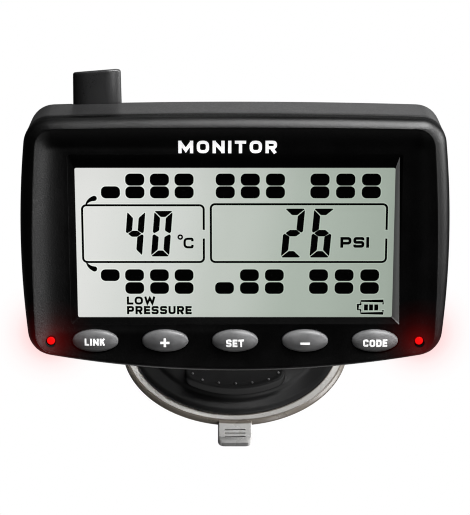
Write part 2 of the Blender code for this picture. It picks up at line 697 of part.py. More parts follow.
# Suction cup: soft disc, flat underneath as it sits when clamped, with a pocket for the stud's
# flange and a pull tab at the front. (radius, z)
CUP_PROFILE = [
    (CUP_R, 0.0), (CUP_R - 0.1, 0.35), (33.9, 1.35), (32.2, 1.4), (29.0, 1.4), (20.0, 2.0),
    (9.6, 3.0), (9.2, 6.3), (4.0, 6.3), (4.0, 5.5), (6.5, 5.5), (6.5, 2.25), (0.6, 2.25),
]
TAB_LEFT = [(-5.0, -32.5), (-5.0, -41.5), (-4.5, -42.9), (-3.2, -43.45)]  # left half, (x, y)
cup = piece("suction_cup", "cup_soft", BASE, turned(CUP_PROFILE, (0, 0), 2, 40))
join(cup, prism(mirrored(TAB_LEFT), 2, 0.25, 1.2))
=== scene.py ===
"""A tyre pressure monitor on its suction-cup mount.

World: the cup stands on z = 0 round the origin, x runs right and the front looks toward -y. The
case leans back on a ball joint, above a lever and an arm that hold it to the cup. Visible
shells are rebuilt here with finer meshes, and every piece gets a node-based material. Meshes
are written in millimetres and materials in metres.
"""

import json
import math

import bmesh
import bpy
from mathutils import Matrix, Vector

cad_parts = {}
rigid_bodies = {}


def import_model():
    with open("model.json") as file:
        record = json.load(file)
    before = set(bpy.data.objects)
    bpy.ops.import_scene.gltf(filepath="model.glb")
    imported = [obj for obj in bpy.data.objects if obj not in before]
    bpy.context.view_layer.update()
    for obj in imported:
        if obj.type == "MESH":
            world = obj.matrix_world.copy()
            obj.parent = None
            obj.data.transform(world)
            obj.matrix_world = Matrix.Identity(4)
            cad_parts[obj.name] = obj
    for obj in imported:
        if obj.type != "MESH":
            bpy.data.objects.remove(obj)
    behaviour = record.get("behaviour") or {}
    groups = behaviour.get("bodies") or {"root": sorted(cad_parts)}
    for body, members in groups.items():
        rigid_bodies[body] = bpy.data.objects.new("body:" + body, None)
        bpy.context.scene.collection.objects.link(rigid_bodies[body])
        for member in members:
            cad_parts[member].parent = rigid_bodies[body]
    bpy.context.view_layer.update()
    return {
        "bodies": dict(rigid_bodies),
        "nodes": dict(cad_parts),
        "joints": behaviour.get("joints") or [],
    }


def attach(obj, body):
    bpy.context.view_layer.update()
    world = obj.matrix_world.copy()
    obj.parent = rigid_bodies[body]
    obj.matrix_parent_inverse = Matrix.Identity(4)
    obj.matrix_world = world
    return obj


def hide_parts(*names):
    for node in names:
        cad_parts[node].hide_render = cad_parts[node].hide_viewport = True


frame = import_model()

MM = 0.001

# ================================================================ places, from the frame's joints
joints = {joint["name"]: joint for joint in frame["joints"]}
BALL_DEPTH = 44.4  # from the front of the case back to the ball's centre

depth_axis = Vector(joints["ball_roll"]["axis"]).normalized()
ball_centre = Vector(joints["ball_roll"]["pos_m"])
arm_hinge = Vector(joints["arm_hinge"]["pos_m"])
lever_hinge = Vector(joints["lever_hinge"]["pos_m"])
LEAN = Matrix.Rotation(-math.atan2(-depth_axis.z, depth_axis.y), 4, "X")
# x right, y into the case, z up the screen
FACE = Matrix.Translation(ball_centre - depth_axis * BALL_DEPTH * MM) @ LEAN
BALL = Matrix.Translation(ball_centre) @ LEAN
ARM = Matrix.Translation(arm_hinge)
LEVER = Matrix.Translation(lever_hinge)
WORLD = Matrix.Identity(4)
PIVOT = arm_hinge / MM
PIN_Z = joints["lever_hinge"]["pos_m"][2] / MM


# ================================================================ shader building
class Wire:
    """One output of a node. Arithmetic and comparisons on it add math nodes."""

    def __init__(self, shader, socket):
        self.shader = shader
        self.socket = socket

    def __add__(self, other):
        return self.shader.math("ADD", self, other)

    def __sub__(self, other):
        return self.shader.math("SUBTRACT", self, other)

    def __rsub__(self, other):
        return self.shader.math("SUBTRACT", other, self)

    def __mul__(self, other):
        return self.shader.math("MULTIPLY", self, other)

    def __lt__(self, other):
        return self.shader.math("LESS_THAN", self, other)

    def __gt__(self, other):
        return self.shader.math("GREATER_THAN", self, other)

    def __abs__(self):
        return self.shader.math("ABSOLUTE", self, 0)

    def remap(self, low, high, from_low=0.35, from_high=0.65):
        """from_low..from_high becomes low..high. The default range is where noise varies."""
        inputs = {"From Min": from_low, "From Max": from_high, "To Min": low, "To Max": high}
        return self.shader.wire("MapRange", "Result", {**inputs, "Value": self})

    def gate(self, start, end):
        """0 on start's side, 1 on end's side, smooth between."""
        inputs = {"From Min": start, "From Max": end, "Value": self}
        return self.shader.wire("MapRange", "Result", inputs, interpolation_type="SMOOTHSTEP")

    def fade(self, at_zero, at_one):
        """The number at_zero where this is 0, at_one where it is 1."""
        return self.shader.mix("FLOAT", self, at_zero, at_one)

    def blend(self, at_zero, at_one):
        """The same with colours."""
        return self.shader.mix("RGBA", self, at_zero, at_one)

    def ramp(self, stops, interpolation="LINEAR"):
        """A colour ramp through stops of (position, colour)."""
        node = self.shader.node("ValToRGB", {"Fac": self})
        node.color_ramp.interpolation = interpolation
        elements = node.color_ramp.elements
        for element, (position, colour) in zip(elements, (stops[0], stops[-1])):
            element.position = position
            element.color = (*colour, 1)
        for position, colour in stops[1:-1]:
            elements.new(position).color = (*colour, 1)
        return Wire(self.shader, node.outputs["Color"])


SURFACE_INPUTS = {
    "colour": "Base Color", "rough": "Roughness", "gloss": "Specular IOR Level",
    "metallic": "Metallic", "clear": "Transmission Weight",
    "glow": "Emission Strength", "glow_colour": "Emission Color",
}


class Shader:
    """The node tree of a material or a world. Node inputs take numbers, colours or wires."""

    def __init__(self, owner, blank=False):
        owner.use_nodes = True
        self.owner = owner
        self.tree = owner.node_tree
        if blank:
            self.tree.nodes.clear()
        self.surface = self.tree.nodes.get("Principled BSDF")

    def put(self, socket, value):
        if isinstance(value, Wire):
            self.tree.links.new(value.socket, socket)
        elif socket.type == "RGBA":
            socket.default_value = (*value, 1)
        else:
            socket.default_value = value

    def node(self, kind, inputs, **settings):
        node = self.tree.nodes.new("ShaderNode" + kind)
        for setting, value in settings.items():
            setattr(node, setting, value)
        for key, value in inputs.items():
            self.put(node.inputs[key], value)
        return node

    def wire(self, kind, output, inputs={}, **settings):
        return Wire(self, self.node(kind, inputs, **settings).outputs[output])

    def set(self, **values):
        """Sets the main surface's inputs, by the names in SURFACE_INPUTS."""
        for word, value in values.items():
            self.put(self.surface.inputs[SURFACE_INPUTS[word]], value)

    def math(self, operation, *values):
        return self.wire("Math", 0, dict(enumerate(values)), operation=operation)

    def mix(self, data_type, factor, first, second, **settings):
        inputs = {"Factor": factor, "A": first, "B": second}
        return self.wire("Mix", "Result", inputs, data_type=data_type, **settings)

    def multiply(self, first, second):
        """The product of two colours."""
        return self.mix("RGBA", 1, first, second, blend_type="MULTIPLY")

    def tint(self, factor):
        """Multiplies the surface colour that is already wired."""
        base = self.surface.inputs["Base Color"]
        self.put(base, self.multiply(Wire(self, base.links[0].from_socket), factor))

    def mix_shader(self, factor, first, second):
        return self.wire("MixShader", "Shader", {"Fac": factor, 1: first, 2: second})

    def place(self):
        return self.wire("TexCoord", "Object")

    def split(self, vector):
        """The x, y and z of a vector."""
        node = self.node("SeparateXYZ", {"Vector": vector})
        return [Wire(self, output) for output in node.outputs]

    def noise(self, scale, detail=4.0, rough=0.55, vector=None):
        inputs = {"Scale": scale, "Detail": detail, "Roughness": rough}
        return self.wire("TexNoise", "Fac", {**inputs, "Vector": vector or self.place()})

    def bump(self, height, strength, distance):
        inputs = {"Strength": strength, "Distance": distance, "Height": height}
        self.put(self.surface.inputs["Normal"], self.wire("Bump", "Normal", inputs))


def new_shader(name, blank=False):
    return Shader(bpy.data.materials.new(name), blank)


def grey(level):
    """A grey with a trace of blue."""
    return (level, level, level * 1.02)


# ================================================================ materials
def moulded(name, dark, light, rough=(0.4, 0.5), grain=2600.0, relief=0.25, gloss=0.5):
    """Moulded plastic with a fine grain and a cloudy sheen."""
    shader = new_shader(name)
    cloud = shader.noise(90.0, detail=3.0)
    fine = shader.noise(grain, detail=3.0, rough=0.65)
    shader.set(
        colour=cloud.remap(0, 1).blend(dark, light),
        rough=cloud.remap(*rough) + fine.remap(-0.05, 0.05),
        gloss=gloss,
    )
    shader.bump(fine, relief, distance=0.00006)
    return shader


def case_plastic():
    """The front casing: fine grain on rim and dished face, duller by the window and outside, with a
    painted highlight on the right-hand slope of the window recess.
    """
    shader = new_shader("case_black")
    cloud = shader.noise(90.0, detail=3.0)
    fine = shader.noise(2400.0, detail=3.0, rough=0.65)
    x, y, z = shader.split(shader.place())

    # gloss falls to the right, and more so deep in the dish
    across = x.gate(-0.030, 0.016)
    deep = y.gate(0.0012, 0.0023)
    gloss = deep.fade(across.fade(0.55, 0.40), across.fade(0.34, 0.07))
    # the slopes round the window, and the outer wall with its duller top
    bevel = y.gate(0.00236, 0.00246) * (abs(x) < 0.0475) * (abs(z) < 0.0262)
    outer = y.gate(0.0026, 0.0034) * (1.0 - bevel)
    gloss = outer.fade(gloss, z.gate(0.0290, 0.0320).fade(0.28, 0.02))
    gloss = bevel.fade(gloss, 0.012)
    # the strips below and above the window, inside the bowed rim and short of the dished ends
    low = z.gate(-0.0258, -0.0280) * (1.0 - abs(x).gate(0.047, 0.054))
    low = low * (z - x * x * 1.67).gate(-0.03690, -0.03665)
    high = z.gate(0.0245, 0.0262) * (1.0 - (z + x * x * 0.2).gate(0.0314, 0.0317))
    high = high * (1.0 - abs(x).gate(0.049, 0.053))
    dull = shader.math("MAXIMUM", low, high) * (1.0 - outer)

    # painted highlight: the right-hand slope of the window recess gets a grey colour and a faint glow
    # that stand in for light, mitred against the slopes above and below
    run = x - 0.0434
    lit = x.gate(0.0425, 0.0430) * (x + z * 0.0186 < 0.04478)
    lit = lit * (z < run * 3.6 + 0.0194) * (z > run * -0.75 - 0.0233)
    lit = lit * x.gate(0.0436, 0.0451).fade(0.75, 1.25)

    base = cloud.remap(0, 1).blend(grey(0.0010), grey(0.0020))
    # the grey colour and faint glow on that slope are the painted highlight
    shader.set(
        colour=lit.blend(base, (0.30, 0.30, 0.30)),
        gloss=dull.fade(gloss, 0.07),
        rough=cloud.remap(0.38, 0.44) + fine.remap(-0.05, 0.06),
        glow_colour=(1, 1, 1),
        glow=lit * 0.024,
    )
    shader.bump(fine, strength=0.7, distance=0.00009)
    return shader


def rear_plastic():
    """The rear casing, with painted shade in its colour and gloss where it turns in to the seam with
    the front one.
    """
    gloss = 0.4
    shader = moulded("case_rear", grey(0.013), grey(0.018), (0.42, 0.5), 2200, 0.35, gloss)
    _, y, _ = shader.split(shader.place())
    # painted shade: colour and gloss fall toward the seam with the front casing
    shade = y.gate(0.0064, 0.0090).fade(0.25, 1.0)
    shader.set(gloss=shade * gloss)
    shader.tint(shade)
    return shader


def foot_plastic(name, dark, light, grain, left_gloss, right_gloss, painted_wall_glow):
    """The foot under the case: gloss falls to the right, the tone falls with it as painted light and
    shade, and front-facing walls get a faint painted glow.
    """
    shader = moulded(name, dark, light, (0.42, 0.5), grain, 0.32, left_gloss)
    x, _, _ = shader.split(shader.place())
    shader.set(gloss=x.gate(-0.020, 0.026).fade(left_gloss, right_gloss))
    # painted light and shade: the tone is lighter at the left and darker at the right
    shader.tint(x.gate(-0.012, 0.026).fade(1.25, 0.5))
    # painted light: front-facing walls glow faintly, more toward the right
    _, normal_y, _ = shader.split(shader.wire("NewGeometry", "Normal"))
    facing_front = normal_y.gate(-0.35, -0.85)
    side = x.gate(-0.018, 0.018).fade(0.6, 1.15)
    shader.set(glow_colour=(1, 1, 1), glow=facing_front * side * painted_wall_glow)
    return shader


def metal(name, dark, light, rough, scale=400.0, relief=0.15):
    shader = new_shader(name)
    place = shader.wire("Mapping", "Vector", {"Vector": shader.place()})
    cloud = shader.noise(scale, detail=5, rough=0.5, vector=place)
    shader.set(colour=cloud.remap(0, 1).blend(dark, light), rough=cloud.remap(*rough), metallic=1.0)
    shader.bump(cloud, relief, distance=0.00003)
    return shader


def key_paint():
    """Satin gunmetal paint with fine flakes and a soft scuffed cloud."""
    shader = new_shader("button_metal")
    flakes = shader.noise(5200.0, detail=2.0, rough=0.7)
    cloud = shader.noise(260.0, detail=4.0, rough=0.6)
    shader.set(
        colour=cloud.remap(0, 1).blend((0.140, 0.140, 0.142), (0.187, 0.187, 0.189)),
        rough=cloud.remap(0.36, 0.46),
        metallic=0.12,
        gloss=0.35,
    )
    shader.bump(flakes, strength=0.25, distance=0.00004)
    return shader


def lamp_red():
    """A lit red lens that glows at its front and stays dark down its side."""
    shader = new_shader("led_red")
    facing = shader.wire("LayerWeight", "Facing", {"Blend": 0.3})
    _, y, _ = shader.split(shader.place())
    shader.set(
        glow_colour=facing.blend((0.95, 0.0058, 0.0058), (0.80, 0.002, 0.002)),
        glow=y.gate(0.00106, 0.00110).fade(1.0, 0.01),
        colour=(0.05, 0.0, 0.0),
        rough=0.45,
        gloss=0.05,
    )
    return shader


def board_green():
    shader = new_shader("board_green")
    inputs = {
        "Scale": 260, "Mortar Size": 0.03, "Color1": (0.008, 0.085, 0.035),
        "Color2": (0.012, 0.105, 0.045), "Mortar": (0.03, 0.2, 0.09), "Vector": shader.place(),
    }
    shader.set(
        colour=shader.wire("TexBrick", "Color", inputs),
        rough=shader.noise(300).remap(0.25, 0.4),
    )
    return shader


SCREEN_GLOW = 1.02
SCREEN_HALF, SCREEN_SHIFT = 0.0434, -0.0158  # half the ramp's length, and its middle
SCREEN_TONES = [  # share of the way across, colour
    (0.0, (0.73, 0.73, 0.715)), (0.28, (0.615, 0.635, 0.61)), (0.5, (0.50, 0.535, 0.495)),
    (0.75, (0.385, 0.435, 0.385)), (1.0, (0.335, 0.385, 0.335)),
]


def screen(name, glow):
    """Liquid crystal: pale grey at the top left, falling to grey-green at the right."""
    shader = new_shader(name)
    x, _, z = shader.split(shader.place())
    diagonal = shader.math("MULTIPLY_ADD", z, -0.22, x)
    share = diagonal.remap(0.0, 1.0, SCREEN_SHIFT - SCREEN_HALF, SCREEN_SHIFT + SCREEN_HALF)
    tone = share.ramp(SCREEN_TONES, "EASE")
    shader.set(
        colour=shader.multiply(tone, (0.12, 0.12, 0.12)),
        glow_colour=tone,
        glow=glow,
        rough=0.6,
        gloss=0.15,
    )
    return shader


def segment_black():
    shader = new_shader("lcd_segment")
    mottle = shader.noise(1200).remap(0.97, 1.03)
    shader.set(colour=shader.multiply((0.002, 0.002, 0.002), mottle), rough=0.7, gloss=0.0)
    return shader


def lens_clear():
    """A thin clear window: light goes straight through, and it mirrors a little at a slant."""
    shader = new_shader("lens_clear")
    clear = shader.wire("BsdfTransparent", "BSDF", {"Color": (0.985, 0.99, 0.985)})
    fresnel = shader.wire("Fresnel", "Fac", {"IOR": 1.33})
    shader.set(colour=(0.0, 0.0, 0.0), rough=shader.noise(60).remap(0.03, 0.07))
    # only outer faces mirror: rays go straight through, so inner faces would turn opaque
    mirror = fresnel * (1.0 - shader.wire("NewGeometry", "Backfacing"))
    mirrored = Wire(shader, shader.surface.outputs["BSDF"])
    output = shader.tree.nodes["Material Output"].inputs["Surface"]
    shader.put(output, shader.mix_shader(mirror, clear, mirrored))
    return shader


# the pale band from 0.34 to 0.56 is a painted sheen on the cup's flat ring
VINYL_TONES_AND_SHEEN = [  # share of the radius between 30 and 36 mm, colour
    (0.0, (0.26, 0.235, 0.205)), (0.29, (0.34, 0.29, 0.24)), (0.34, (0.92, 0.895, 0.86)),
    (0.56, (0.84, 0.82, 0.785)), (0.61, (0.17, 0.145, 0.12)), (0.66, (0.34, 0.30, 0.255)),
    (0.80, (0.27, 0.235, 0.20)), (0.88, (0.95, 0.935, 0.91)), (1.0, (0.98, 0.97, 0.95)),
]


def soft_vinyl():
    """Brownish clear vinyl: a pale flat ring on top that is painted sheen, a darker edge and a paler
    pull tab.
    """
    shader = new_shader("cup_soft")
    x, y, z = shader.split(shader.place())
    flat = shader.wire("CombineXYZ", "Vector", {"X": x, "Y": y})
    radius = shader.wire("VectorMath", "Value", {0: flat}, operation="LENGTH")
    rings = radius.remap(0, 1, 0.030, 0.036).ramp(VINYL_TONES_AND_SHEEN)
    cloud = shader.noise(140.0, detail=4.0)
    # painted shade: the cup darkens from left to right, but the tab beyond its rim does not
    across = x.gate(-0.022, 0.004).fade(2.1, 0.92) * x.gate(0.002, 0.030).fade(1.0, 0.55)
    across = radius.gate(0.0350, 0.0356).fade(across, 1.05)
    shade = cloud.remap(0.97, 1.05) * across
    # the tab's far end is a darker lip, and the grooves across it get painted shade at the bottom
    tip = y.gate(-0.04245, -0.04275) * (1.0 - abs(x).gate(0.0036, 0.0042))
    groove = z.gate(0.00115, 0.00108) * (y.gate(-0.0412, -0.0410) * y.gate(-0.0366, -0.0368))
    groove = groove * abs(x).gate(0.0034, 0.0033)
    tone = shade * (tip.fade(1.0, 0.38) * groove.fade(1.0, 0.4))
    shader.set(
        colour=shader.multiply(rings, tone), rough=cloud.remap(0.24, 0.34), gloss=0.45, clear=0.12
    )
    shader.bump(shader.noise(600.0, detail=3.0), strength=0.06, distance=0.00005)
    return shader


CASE_BLACK = case_plastic()
CASE_REAR = rear_plastic()
AERIAL_BLACK = moulded("aerial_black", grey(0.021), grey(0.026), rough=(0.30, 0.38), relief=0.22)
MOUNT_BLACK = moulded(
    "mount_black", grey(0.0085), grey(0.0115), rough=(0.42, 0.5), relief=0.3, gloss=0.17
)
# base and lever: painted shade falling to the right and a painted glow on their front walls
BASE_BLACK = foot_plastic(
    "base_black", grey(0.0105), grey(0.0135), grain=2600,
    left_gloss=0.95, right_gloss=0.02, painted_wall_glow=0.003,
)
LEVER_BLACK = foot_plastic(
    "lever_black", grey(0.0085), grey(0.012), grain=2400,
    left_gloss=0.12, right_gloss=0.07, painted_wall_glow=0.022,
)
KNOB_BLACK = moulded(
    "knob_black", grey(0.008), grey(0.012), rough=(0.45, 0.55), grain=2000, relief=0.4
)
WHITE = moulded(
    "white_plastic", (0.72, 0.72, 0.70), (0.80, 0.80, 0.78),
    rough=(0.45, 0.55), grain=1500, relief=0.1,
)
NYLON = moulded("nylon", (0.62, 0.60, 0.54), (0.72, 0.70, 0.64), grain=1500, relief=0.1)
CHIP = moulded("chip_black", grey(0.015), grey(0.025), rough=(0.5, 0.6), grain=3500, relief=0.3)
FOAM = moulded(
    "foam", grey(0.03), grey(0.07), rough=(0.9, 0.98), grain=1400, relief=0.9, gloss=0.2
)
STRIP = moulded(
    "rubber_grey", grey(0.18), grey(0.26), rough=(0.7, 0.8), grain=1800, relief=0.3, gloss=0.3
)
INK = moulded(
    "legend_ink", (0.90, 0.90, 0.90), (0.96, 0.96, 0.96),
    rough=(0.5, 0.6), grain=3000, relief=0.08, gloss=0.3,
)
# painted light: the white legend ink glows, though it is no lamp
INK.set(glow_colour=(1, 1, 1), glow=0.55)
STEEL = metal("steel", (0.42, 0.43, 0.45), (0.58, 0.59, 0.61), rough=(0.24, 0.36), scale=900)
BRASS = metal("brass", (0.52, 0.38, 0.16), (0.68, 0.52, 0.24), rough=(0.22, 0.34))
FOIL = metal(
    "battery_silver", (0.42, 0.44, 0.47), (0.60, 0.62, 0.65), rough=(0.3, 0.5),
    scale=250, relief=0.5,
)
KEY_PAINT = key_paint()
LAMP_RED = lamp_red()
BOARD = board_green()
SCREEN = screen("lcd_glass", SCREEN_GLOW)
SEGMENT = segment_black()
FRINGE = screen("lcd_fringe", SCREEN_GLOW * 1.3)  # pale edging round the dark segments
LENS = lens_clear()
VINYL = soft_vinyl()
# painted highlight: the lever's pips are made pale grey to stand in for the light they catch
PIP_PAINTED_HIGHLIGHT = moulded("lever_pips", grey(0.10), grey(0.14), grain=2400, relief=0.1)


# ================================================================ mesh helpers, mm
# A shell is (points, faces). A loop is a ring of 3D points; a flat shape is a list of 2D points.
def loft(loops, closed=False):
    """Joins loops in turn; the ends are capped unless the last loop joins the first."""
    size = len(loops[0])
    count = len(loops)
    points = [tuple(point) for loop in loops for point in loop]
    faces = []
    for k in range(count if closed else count - 1):
        here, there = k * size, ((k + 1) % count) * size
        for i in range(size):
            j = (i + 1) % size
            faces.append((here + i, here + j, there + j, there + i))
    if not closed:
        faces.append(tuple(range(size - 1, -1, -1)))
        faces.append(tuple(range((count - 1) * size, count * size)))
    return points, faces


def lift(shape, axis, height):
    """A flat shape set at a height along an axis."""
    loop = []
    for point in shape:
        point = list(point)
        point.insert(axis, height)
        loop.append(tuple(point))
    return loop


def prism(shape, axis, low, high):
    return loft([lift(shape, axis, height) for height in (low, high)])


def box(x0, x1, y0, y1, z0, z1):
    return prism([(x0, y0), (x1, y0), (x1, y1), (x0, y1)], 2, z0, z1)


def disc(x, y, radius, count):
    turns = [2 * math.pi * i / count for i in range(count)]
    return [(x + radius * math.cos(turn), y + radius * math.sin(turn)) for turn in turns]


def turned(profile, axis, seg, centre=(0, 0), closed=False):
    """A profile of (radius, height) turned about an axis."""
    return loft([lift(disc(*centre, r, seg), axis, h) for r, h in profile], closed)


def bend(start, corner, end, steps):
    """A quadratic curve from start to end, pulled toward corner."""
    curve = []
    for k in range(steps + 1):
        t = k / steps
        curve.append(tuple(start.lerp(corner, t).lerp(corner.lerp(end, t), t)))
    return curve


def fillet(points, radius, steps=4, closed=True):
    """Rounds the corners of a polyline. radius is one number, or one per point."""
    rounded = []
    count = len(points)
    for i, point in enumerate(points):
        size = radius[i] if isinstance(radius, (list, tuple)) else radius
        if size <= 0 or (not closed and i in (0, count - 1)):
            rounded.append(tuple(point))
            continue
        corner = Vector(point)
        before = Vector(points[i - 1]) - corner
        after = Vector(points[(i + 1) % count]) - corner
        cut_back = min(size, before.length * 0.45, after.length * 0.45)
        start = corner + before.normalized() * cut_back
        rounded += bend(start, corner, corner + after.normalized() * cut_back, steps)
    return rounded


def rounded_rect(x0, x1, z0, z1, r, steps=6):
    shape = []
    corners = ((x1 - r, z1 - r, 0), (x0 + r, z1 - r, 90), (x0 + r, z0 + r, 180), (x1 - r, z0 + r, 270))
    for x, z, start in corners:
        for i in range(steps + 1):
            turn = math.radians(start + 90 * i / steps)
            shape.append((x + r * math.cos(turn), z + r * math.sin(turn)))
    return shape


def curve_through(points, steps):
    """Catmull-Rom through rows of numbers."""
    curve = []
    last = len(points) - 1
    for i in range(last):
        rows = (points[max(i - 1, 0)], points[i], points[i + 1], points[min(i + 2, last)])
        for k in range(steps):
            t = k / steps
            curve.append(tuple(
                0.5 * (
                    2 * b + (c - a) * t + (2 * a - 5 * b + 4 * c - d) * t * t
                    + (3 * b - a - 3 * c + d) * t**3
                )
                for a, b, c, d in zip(*rows)
            ))
    curve.append(tuple(points[-1]))
    return curve


def raw(name, shells, matrix):
    """An object made of shells, with no material yet."""
    bm = bmesh.new()
    for points, faces in shells:
        made = [bm.verts.new([c * MM for c in point]) for point in points]
        for face in faces:
            bm.faces.new([made[i] for i in face])
    bmesh.ops.recalc_face_normals(bm, faces=bm.faces)
    mesh = bpy.data.meshes.new(name)
    bm.to_mesh(mesh)
    bm.free()
    obj = bpy.data.objects.new(name, mesh)
    obj.matrix_world = matrix
    bpy.context.scene.collection.objects.link(obj)
    return obj


def bake(obj):
    """Applies the modifiers."""
    depsgraph = bpy.context.evaluated_depsgraph_get()
    mesh = bpy.data.meshes.new_from_object(obj.evaluated_get(depsgraph))
    obj.modifiers.clear()
    old, obj.data = obj.data, mesh
    bpy.data.meshes.remove(old)


def boolean(obj, shells, operation):
    """Shells given together must not overlap."""
    helper = raw("helper", shells, obj.matrix_world.copy())
    modifier = obj.modifiers.new("b", "BOOLEAN")
    modifier.operation = operation
    modifier.solver = "EXACT"
    modifier.object = helper
    bake(obj)
    bpy.data.objects.remove(helper)


def cut(obj, *shells):
    boolean(obj, shells, "DIFFERENCE")


def join(obj, *shells):
    boolean(obj, shells, "UNION")


def dress(obj, shader, body, nodes=(), sharp=34, edge=0, segments=2):
    """Shading, material, a fine bevel on sharp edges, the body it rides and what it replaces."""
    obj.data.shade_smooth()
    obj.data.set_sharp_from_angle(angle=math.radians(sharp))
    obj.data.materials.clear()
    obj.data.materials.append(shader.owner)
    if edge:
        bevel = obj.modifiers.new("edge", "BEVEL")
        bevel.width = edge * MM
        bevel.segments = segments
        bevel.limit_method = "ANGLE"
        bevel.angle_limit = math.radians(sharp)
        bevel.harden_normals = True
        bevel.use_clamp_overlap = True
        bake(obj)
    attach(obj, body)
    if nodes:
        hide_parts(*nodes)


# ================================================================ casing outlines
SIDE_STEPS = 22
CORNER_STEPS = 9


def outline(
    top, bottom, side, top_radius, bottom_radius, top_bow=0, bottom_bow=0, side_bow=0, side_mid=0
):
    """Bowed rounded rectangle, clockwise seen from the front, as ((x, z), outward normal)."""

    def unit(x, z):
        length = math.hypot(x, z)
        return x / length, z / length

    def on_top(x):
        return (x, top - top_bow * x * x), unit(2 * top_bow * x, 1)

    def on_bottom(x):
        return (x, bottom + bottom_bow * x * x), unit(2 * bottom_bow * x, -1)

    def on_side(z):
        return (side - side_bow * (z - side_mid) ** 2, z), unit(1, 2 * side_bow * (z - side_mid))

    def corner(level, radius, sign):
        """Where the right corner's arc leaves the level edge and the side, and its points."""
        x = side - radius
        z = (top if sign > 0 else bottom) - sign * radius
        level_x, side_z = x, z
        for _ in range(60):
            point, normal = level(level_x)
            z = point[1] - radius * normal[1]
            level_x = x + radius * normal[0]
            point, normal = on_side(side_z)
            x = point[0] - radius * normal[0]
            side_z = z + radius * normal[1]
        ends = [math.atan2(n[1], n[0]) for n in (level(level_x)[1], on_side(side_z)[1])]
        first, last = ends if sign > 0 else reversed(ends)
        arc = []
        for i in range(CORNER_STEPS + 1):
            turn = first + (last - first) * i / CORNER_STEPS
            normal = (math.cos(turn), math.sin(turn))
            arc.append(((x + radius * normal[0], z + radius * normal[1]), normal))
        return level_x, side_z, arc

    top_x, high_z, top_arc = corner(on_top, top_radius, 1)
    bottom_x, low_z, bottom_arc = corner(on_bottom, bottom_radius, -1)
    steps = range(1, SIDE_STEPS)
    right = top_arc + [on_side(high_z + (low_z - high_z) * i / SIDE_STEPS) for i in steps]
    right += bottom_arc
    points = [on_top(-top_x + 2 * top_x * i / SIDE_STEPS) for i in steps]
    points += right
    points += [on_bottom(bottom_x - 2 * bottom_x * i / SIDE_STEPS) for i in steps]
    points += [((-p[0], p[1]), (-n[0], n[1])) for p, n in reversed(right)]
    return points


CASE = outline(
    34.0, -38.4, 58.4, top_radius=7.0, bottom_radius=7.3,
    top_bow=0.0003, bottom_bow=0.00175, side_bow=0.0019, side_mid=-2.0,
)
RIM_TOP, RIM_TOP_BOW = 31.55, 0.0002
RIM_IN = outline(
    RIM_TOP, -36.6, 55.1, top_radius=5.2, bottom_radius=5.6,
    top_bow=RIM_TOP_BOW, bottom_bow=0.00167, side_bow=0.0011, side_mid=-12.0,
)
WINDOW_TOP = 23.7
WINDOW = outline(WINDOW_TOP, -24.65, 45.2, top_radius=0.8, bottom_radius=0.8)
OPENING = outline(19.4, -23.3, 43.4, top_radius=0.5, bottom_radius=0.5)
SEAT = outline(24.9, -24.9, 47.6, top_radius=1.5, bottom_radius=1.5)
DISH_DEPTH = 2.4
BACK_OF_DISH = 2.58


def at(shape, y, inset=0.0):
    """An outline as a loop at depth y, drawn in by inset."""
    return [(p[0] - n[0] * inset, y, p[1] - n[1] * inset) for p, n in shape]


def between(first, second, share, y):
    """A loop part of the way from one loop to another, at depth y."""
    pairs = zip(first, second)
    return [(a[0] + (b[0] - a[0]) * share, y, a[2] + (b[2] - a[2]) * share) for a, b in pairs]


def dish(share):
    """Depth of the dished face, from the rim's inner edge (0) to the window (1)."""
    return DISH_DEPTH * (1 - (1 - share) ** 2.3)


def rim_ring(k):
    """Step k of 14 over the rounded rim; the bottom edge has a long chamfer instead."""
    turn = math.radians(90 * k / 14)
    round_share = (1 - math.cos(turn) + k / 14) / 2
    round_depth = (2 - math.sin(turn) - k / 14) / 2
    slope = min(k / 9.0, 1.0)
    roll = math.radians(90 * max(k - 9, 0) / 5.0)
    chamfer_share = 0.64 * slope + 0.33 * (1 - math.cos(roll))
    chamfer_depth = 3.0 - 2.55 * slope - 0.45 * math.sin(roll)
    ring = []
    for (point, normal), (inner, _) in zip(CASE, RIM_IN):
        down = min(max((-normal[1] - 0.80) / 0.16, 0.0), 1.0)
        down = down * down * (3 - 2 * down)
        share = 0.97 * round_share * (1 - down) + chamfer_share * down
        y = 3.0 * round_depth * (1 - down) + chamfer_depth * down
        x = point[0] + (inner[0] - point[0]) * share
        ring.append((x, y, point[1] + (inner[1] - point[1]) * share))
    return ring


# ================================================================ front casing
KEY_PITCH = 19.3
KEY_X = {name: (i - 2) * KEY_PITCH for i, name in enumerate(("link", "plus", "set", "minus", "code"))}
KEY_Z = -29.25
KEY_HALF_WIDTH, KEY_HALF_HEIGHT = 6.38, 3.15
KEY_GAP = 0.25
LAMP_X, LAMP_Z = 50.75, -28.95
SIDES = (("left", -1), ("right", 1))


def key_oval(x, y, half_width, half_height):
    turns = [2 * math.pi * i / 72 for i in range(72)]
    return [(x + half_width * math.cos(t), y, KEY_Z + half_height * math.sin(t)) for t in turns]


